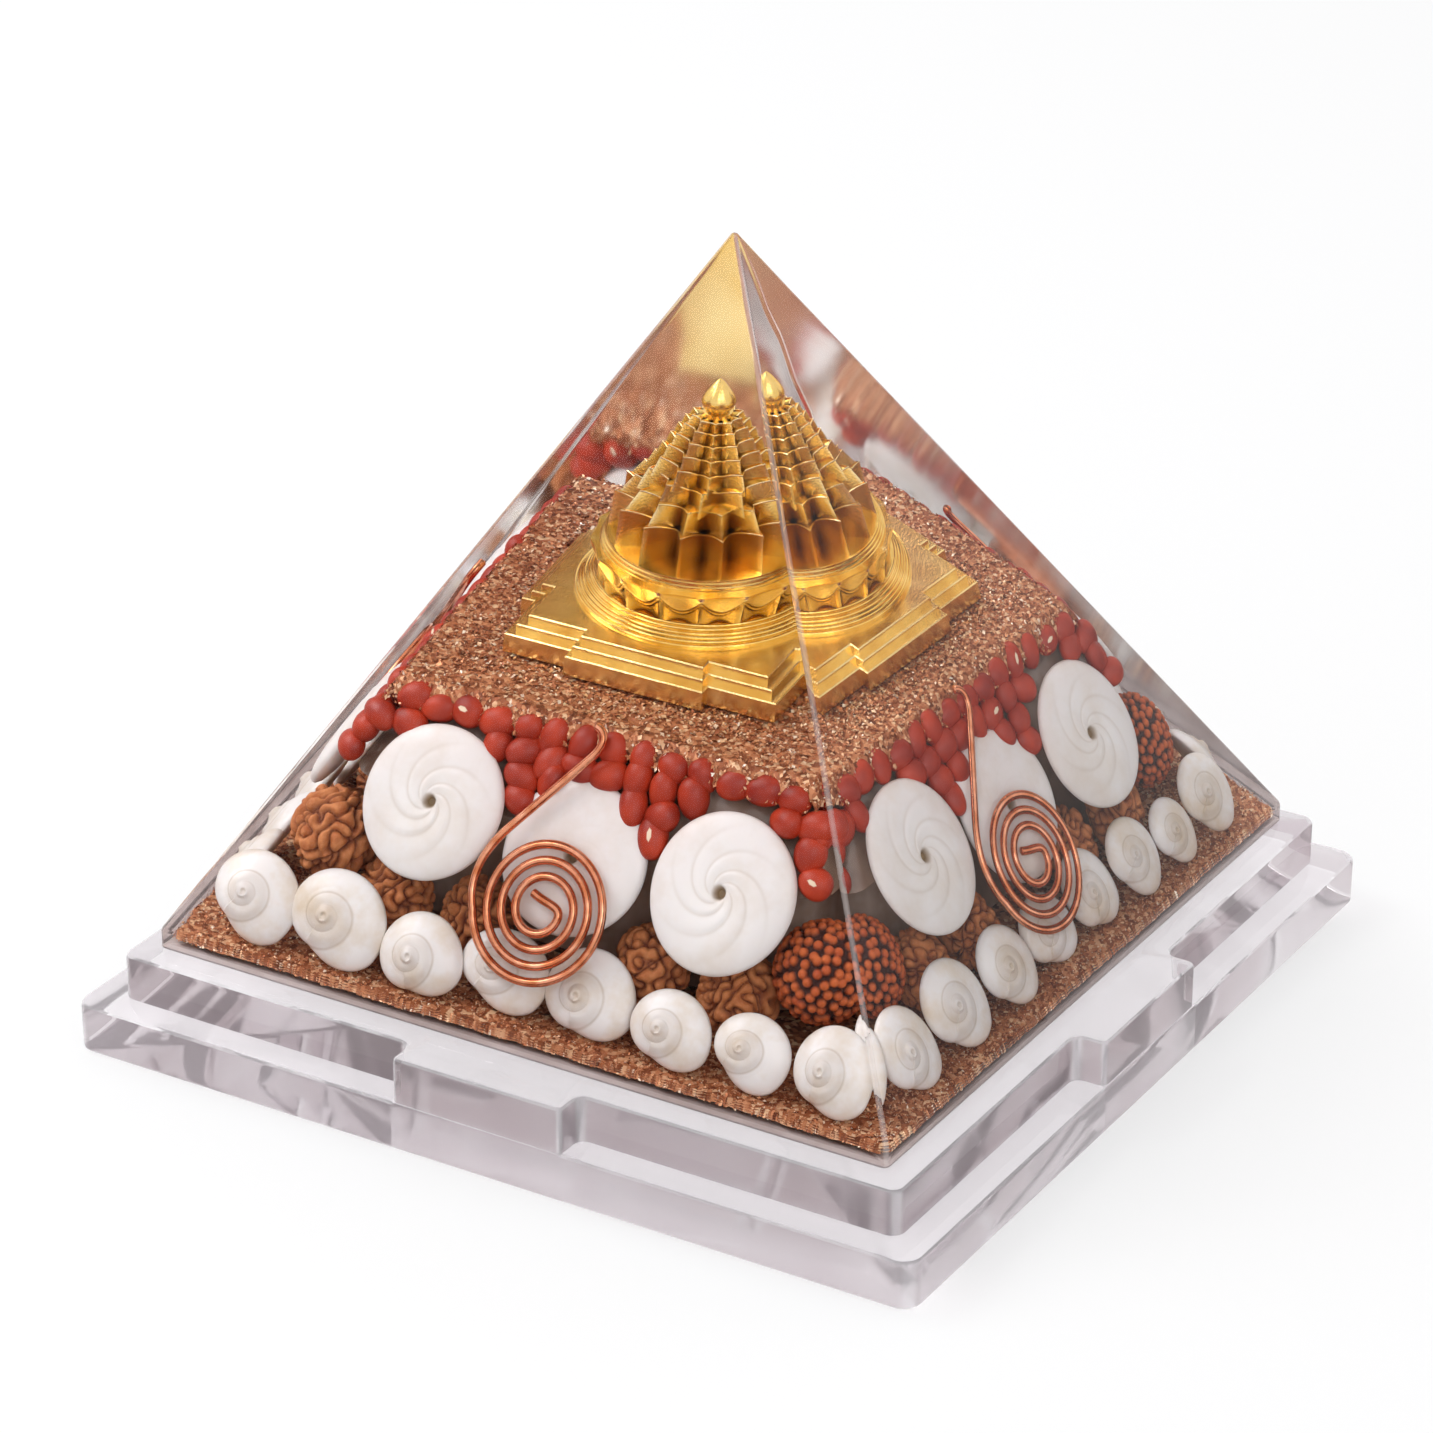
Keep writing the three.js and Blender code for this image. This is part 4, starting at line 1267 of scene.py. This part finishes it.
seedBand = {
    "length": 8.0 * mm,
    "width": 6.2 * mm,
    "nest": 0.7,  # how far each row lies below the last, in seed widths
    "pitch": 6.2 * mm,
    "rows": (  # places along the face, in pitches from its middle
        (-6.4, -5.5, -4.5, -3.5, -2.5, -1.5, -0.5, 0.5, 1.5, 2.5, 3.5, 4.5, 5.5, 6.5),
        (-7.35, -6.4, -3.3, -2.35, -1.4, -0.45, 0.5, 1.45, 2.4, 3.35, 6.45, 7.35),
        (-2.2, -1.25, 1.5, 2.5, 7.45),
        (-2.1, 2.45, 7.8),
    ),
    "depth": 6 * mm,
    "topInset": 0.46,  # of the top row's middle below the node's top, in seed widths
    "sizes": ((0.84, 0.9, 0.9), (1.04, 1.04, 1.0)),  # least and most, along its three axes
    "spins": ((-0.5, 0.5), (1.0, 2.2)),  # of a seed that lies along the band, and of a standing one
    "standing": 0.4,
    "nod": 0.25,
    "scatter": (0.2 * mm, 0.25 * mm),
    "eye": (0.19, 0.09),  # as shares of its length and width
    "eyeShare": 0.14,
}


def beanShape(s):
    # an egg-shaped bean along x, a little flat
    up, around = ballAngles(14, 20)
    x = np.sin(up) * s["length"] / 2 + 0 * around
    wide = np.cos(up) ** 0.9 * (1 + 0.09 * np.sin(up)) * s["width"] / 2
    return closedSkin(np.stack([x, wide * np.cos(around), wide * np.sin(around) * 0.9], -1))


def turnedFlat(points, nod, spin):
    # nods a shape about y, then spins it in its own plane
    a, b = math.cos(nod), math.sin(nod)
    c, d = math.cos(spin), math.sin(spin)
    points = points @ np.array([[a, 0, b], [0, 1, 0], [-b, 0, a]])
    return points @ np.array([[c, d, 0], [-d, c, 0], [0, 0, 1]])


seedRed = seedMaterial()
rng = np.random.default_rng(14)
beanPoints, beanFaces = beanShape(seedBand)
eyeSize = np.array(seedBand["eye"]) * (seedBand["length"], seedBand["width"])
eye = np.exp(-((beanPoints[:, :2] / eyeSize) ** 2).sum(1))
for k, side in enumerate(sides):
    node = "seed_band_" + side
    top = cadCorners(node)[1][2] - seedBand["width"] * seedBand["topInset"]
    shapes, eyes = [], []
    for row, places in enumerate(seedBand["rows"]):
        z = top - row * seedBand["nest"] * seedBand["width"] * math.sin(faceAngle)
        for place in places:
            size = rng.uniform(*seedBand["sizes"])
            spins = [rng.uniform(*ends) for ends in seedBand["spins"]]
            spin = rng.choice(spins, p=[1 - seedBand["standing"], seedBand["standing"]])
            placed = turnedFlat(beanPoints * size, rng.normal(0, seedBand["nod"]), spin)
            aside, lift = (rng.normal(0, scatter) for scatter in seedBand["scatter"])
            x, level = place * seedBand["pitch"] + aside, z + lift
            shapes.append((onFace(placed, x, level, seedBand["depth"], k), beanFaces))
            eyes.append(eye * (beanPoints[:, 2] > 0) * (rng.uniform() < seedBand["eyeShare"]))
    piece = makePiece("redSeeds" + side.title(), together(shapes), seedRed, (node,), 180)
    markPoints(piece, "eye", np.concatenate(eyes))
print("seeds made")


# Stage: a white floor, a white world and two soft lamps

studio = {
    "floorLevel": -0.2 * mm,
    "floorSize": 3.0,
    "worldLight": 0.75,
    "floorSeen": 0.55,  # how far the floor lights itself when seen straight
    "floorThrough": 0.95,  # and when seen in a gloss or through resin
    "lamps": (  # place in metres, size, power
        ((-1.0, -0.2, 1.1), 0.7, 9),
        ((0.8, -0.9, 0.9), 0.6, 3),
    ),
}


def makeFloor(s):
    # seen straight, in a gloss or through resin, the floor is partly lit by itself, so its shadow stays faint
    size, level = s["floorSize"] / 2, s["floorLevel"]
    points = [(x * size, y * size, level) for x, y in ((-1, -1), (1, -1), (1, 1), (-1, 1))]
    mesh = bpy.data.meshes.new("floor")
    mesh.from_pydata(points, [], [[0, 1, 2, 3]])
    p = newPaint("floorWhite")
    path = p.add("LightPath")
    share = (path["Is Camera Ray"] * s["floorSeen"]).orMore(
        path["Is Glossy Ray"].orMore(path["Is Transmission Ray"]) * s["floorThrough"])
    plain = p.add("BsdfPrincipled", {}, Base_Color=tone("f7f7f8"), Roughness=0.9)
    glow = p.add("Emission", {}, Color=(1, 1, 1, 1), Strength=1.0)
    p.add("OutputMaterial", {}, p.add("MixShader", {}, share, plain["BSDF"], glow["Emission"])["Shader"])
    mesh.materials.append(p.owner)
    floor = bpy.data.objects.new("floor", mesh)
    bpy.context.collection.objects.link(floor)


def lightWorld(s):
    p = Paint(bpy.data.worlds.new("studio"))
    shown = p.shownRay()
    strength = s["worldLight"] + shown * (1 - s["worldLight"])
    back = p.add("Background", {}, Color=(1, 1, 1, 1), Strength=strength)
    p.add("OutputWorld", {}, back["Background"])
    bpy.context.scene.world = p.owner


def hangLamps(s):
    for i, (place, size, power) in enumerate(s["lamps"]):
        data = bpy.data.lights.new(f"lamp{i + 1}", "AREA")
        data.shape, data.size, data.energy = "SQUARE", size, power
        lamp = bpy.data.objects.new(f"lamp{i + 1}", data)
        lamp.location = place
        lamp.rotation_euler = Vector(place).to_track_quat("Z", "Y").to_euler()
        bpy.context.collection.objects.link(lamp)


makeFloor(studio)
lightWorld(studio)
hangLamps(studio)
print("studio lit")
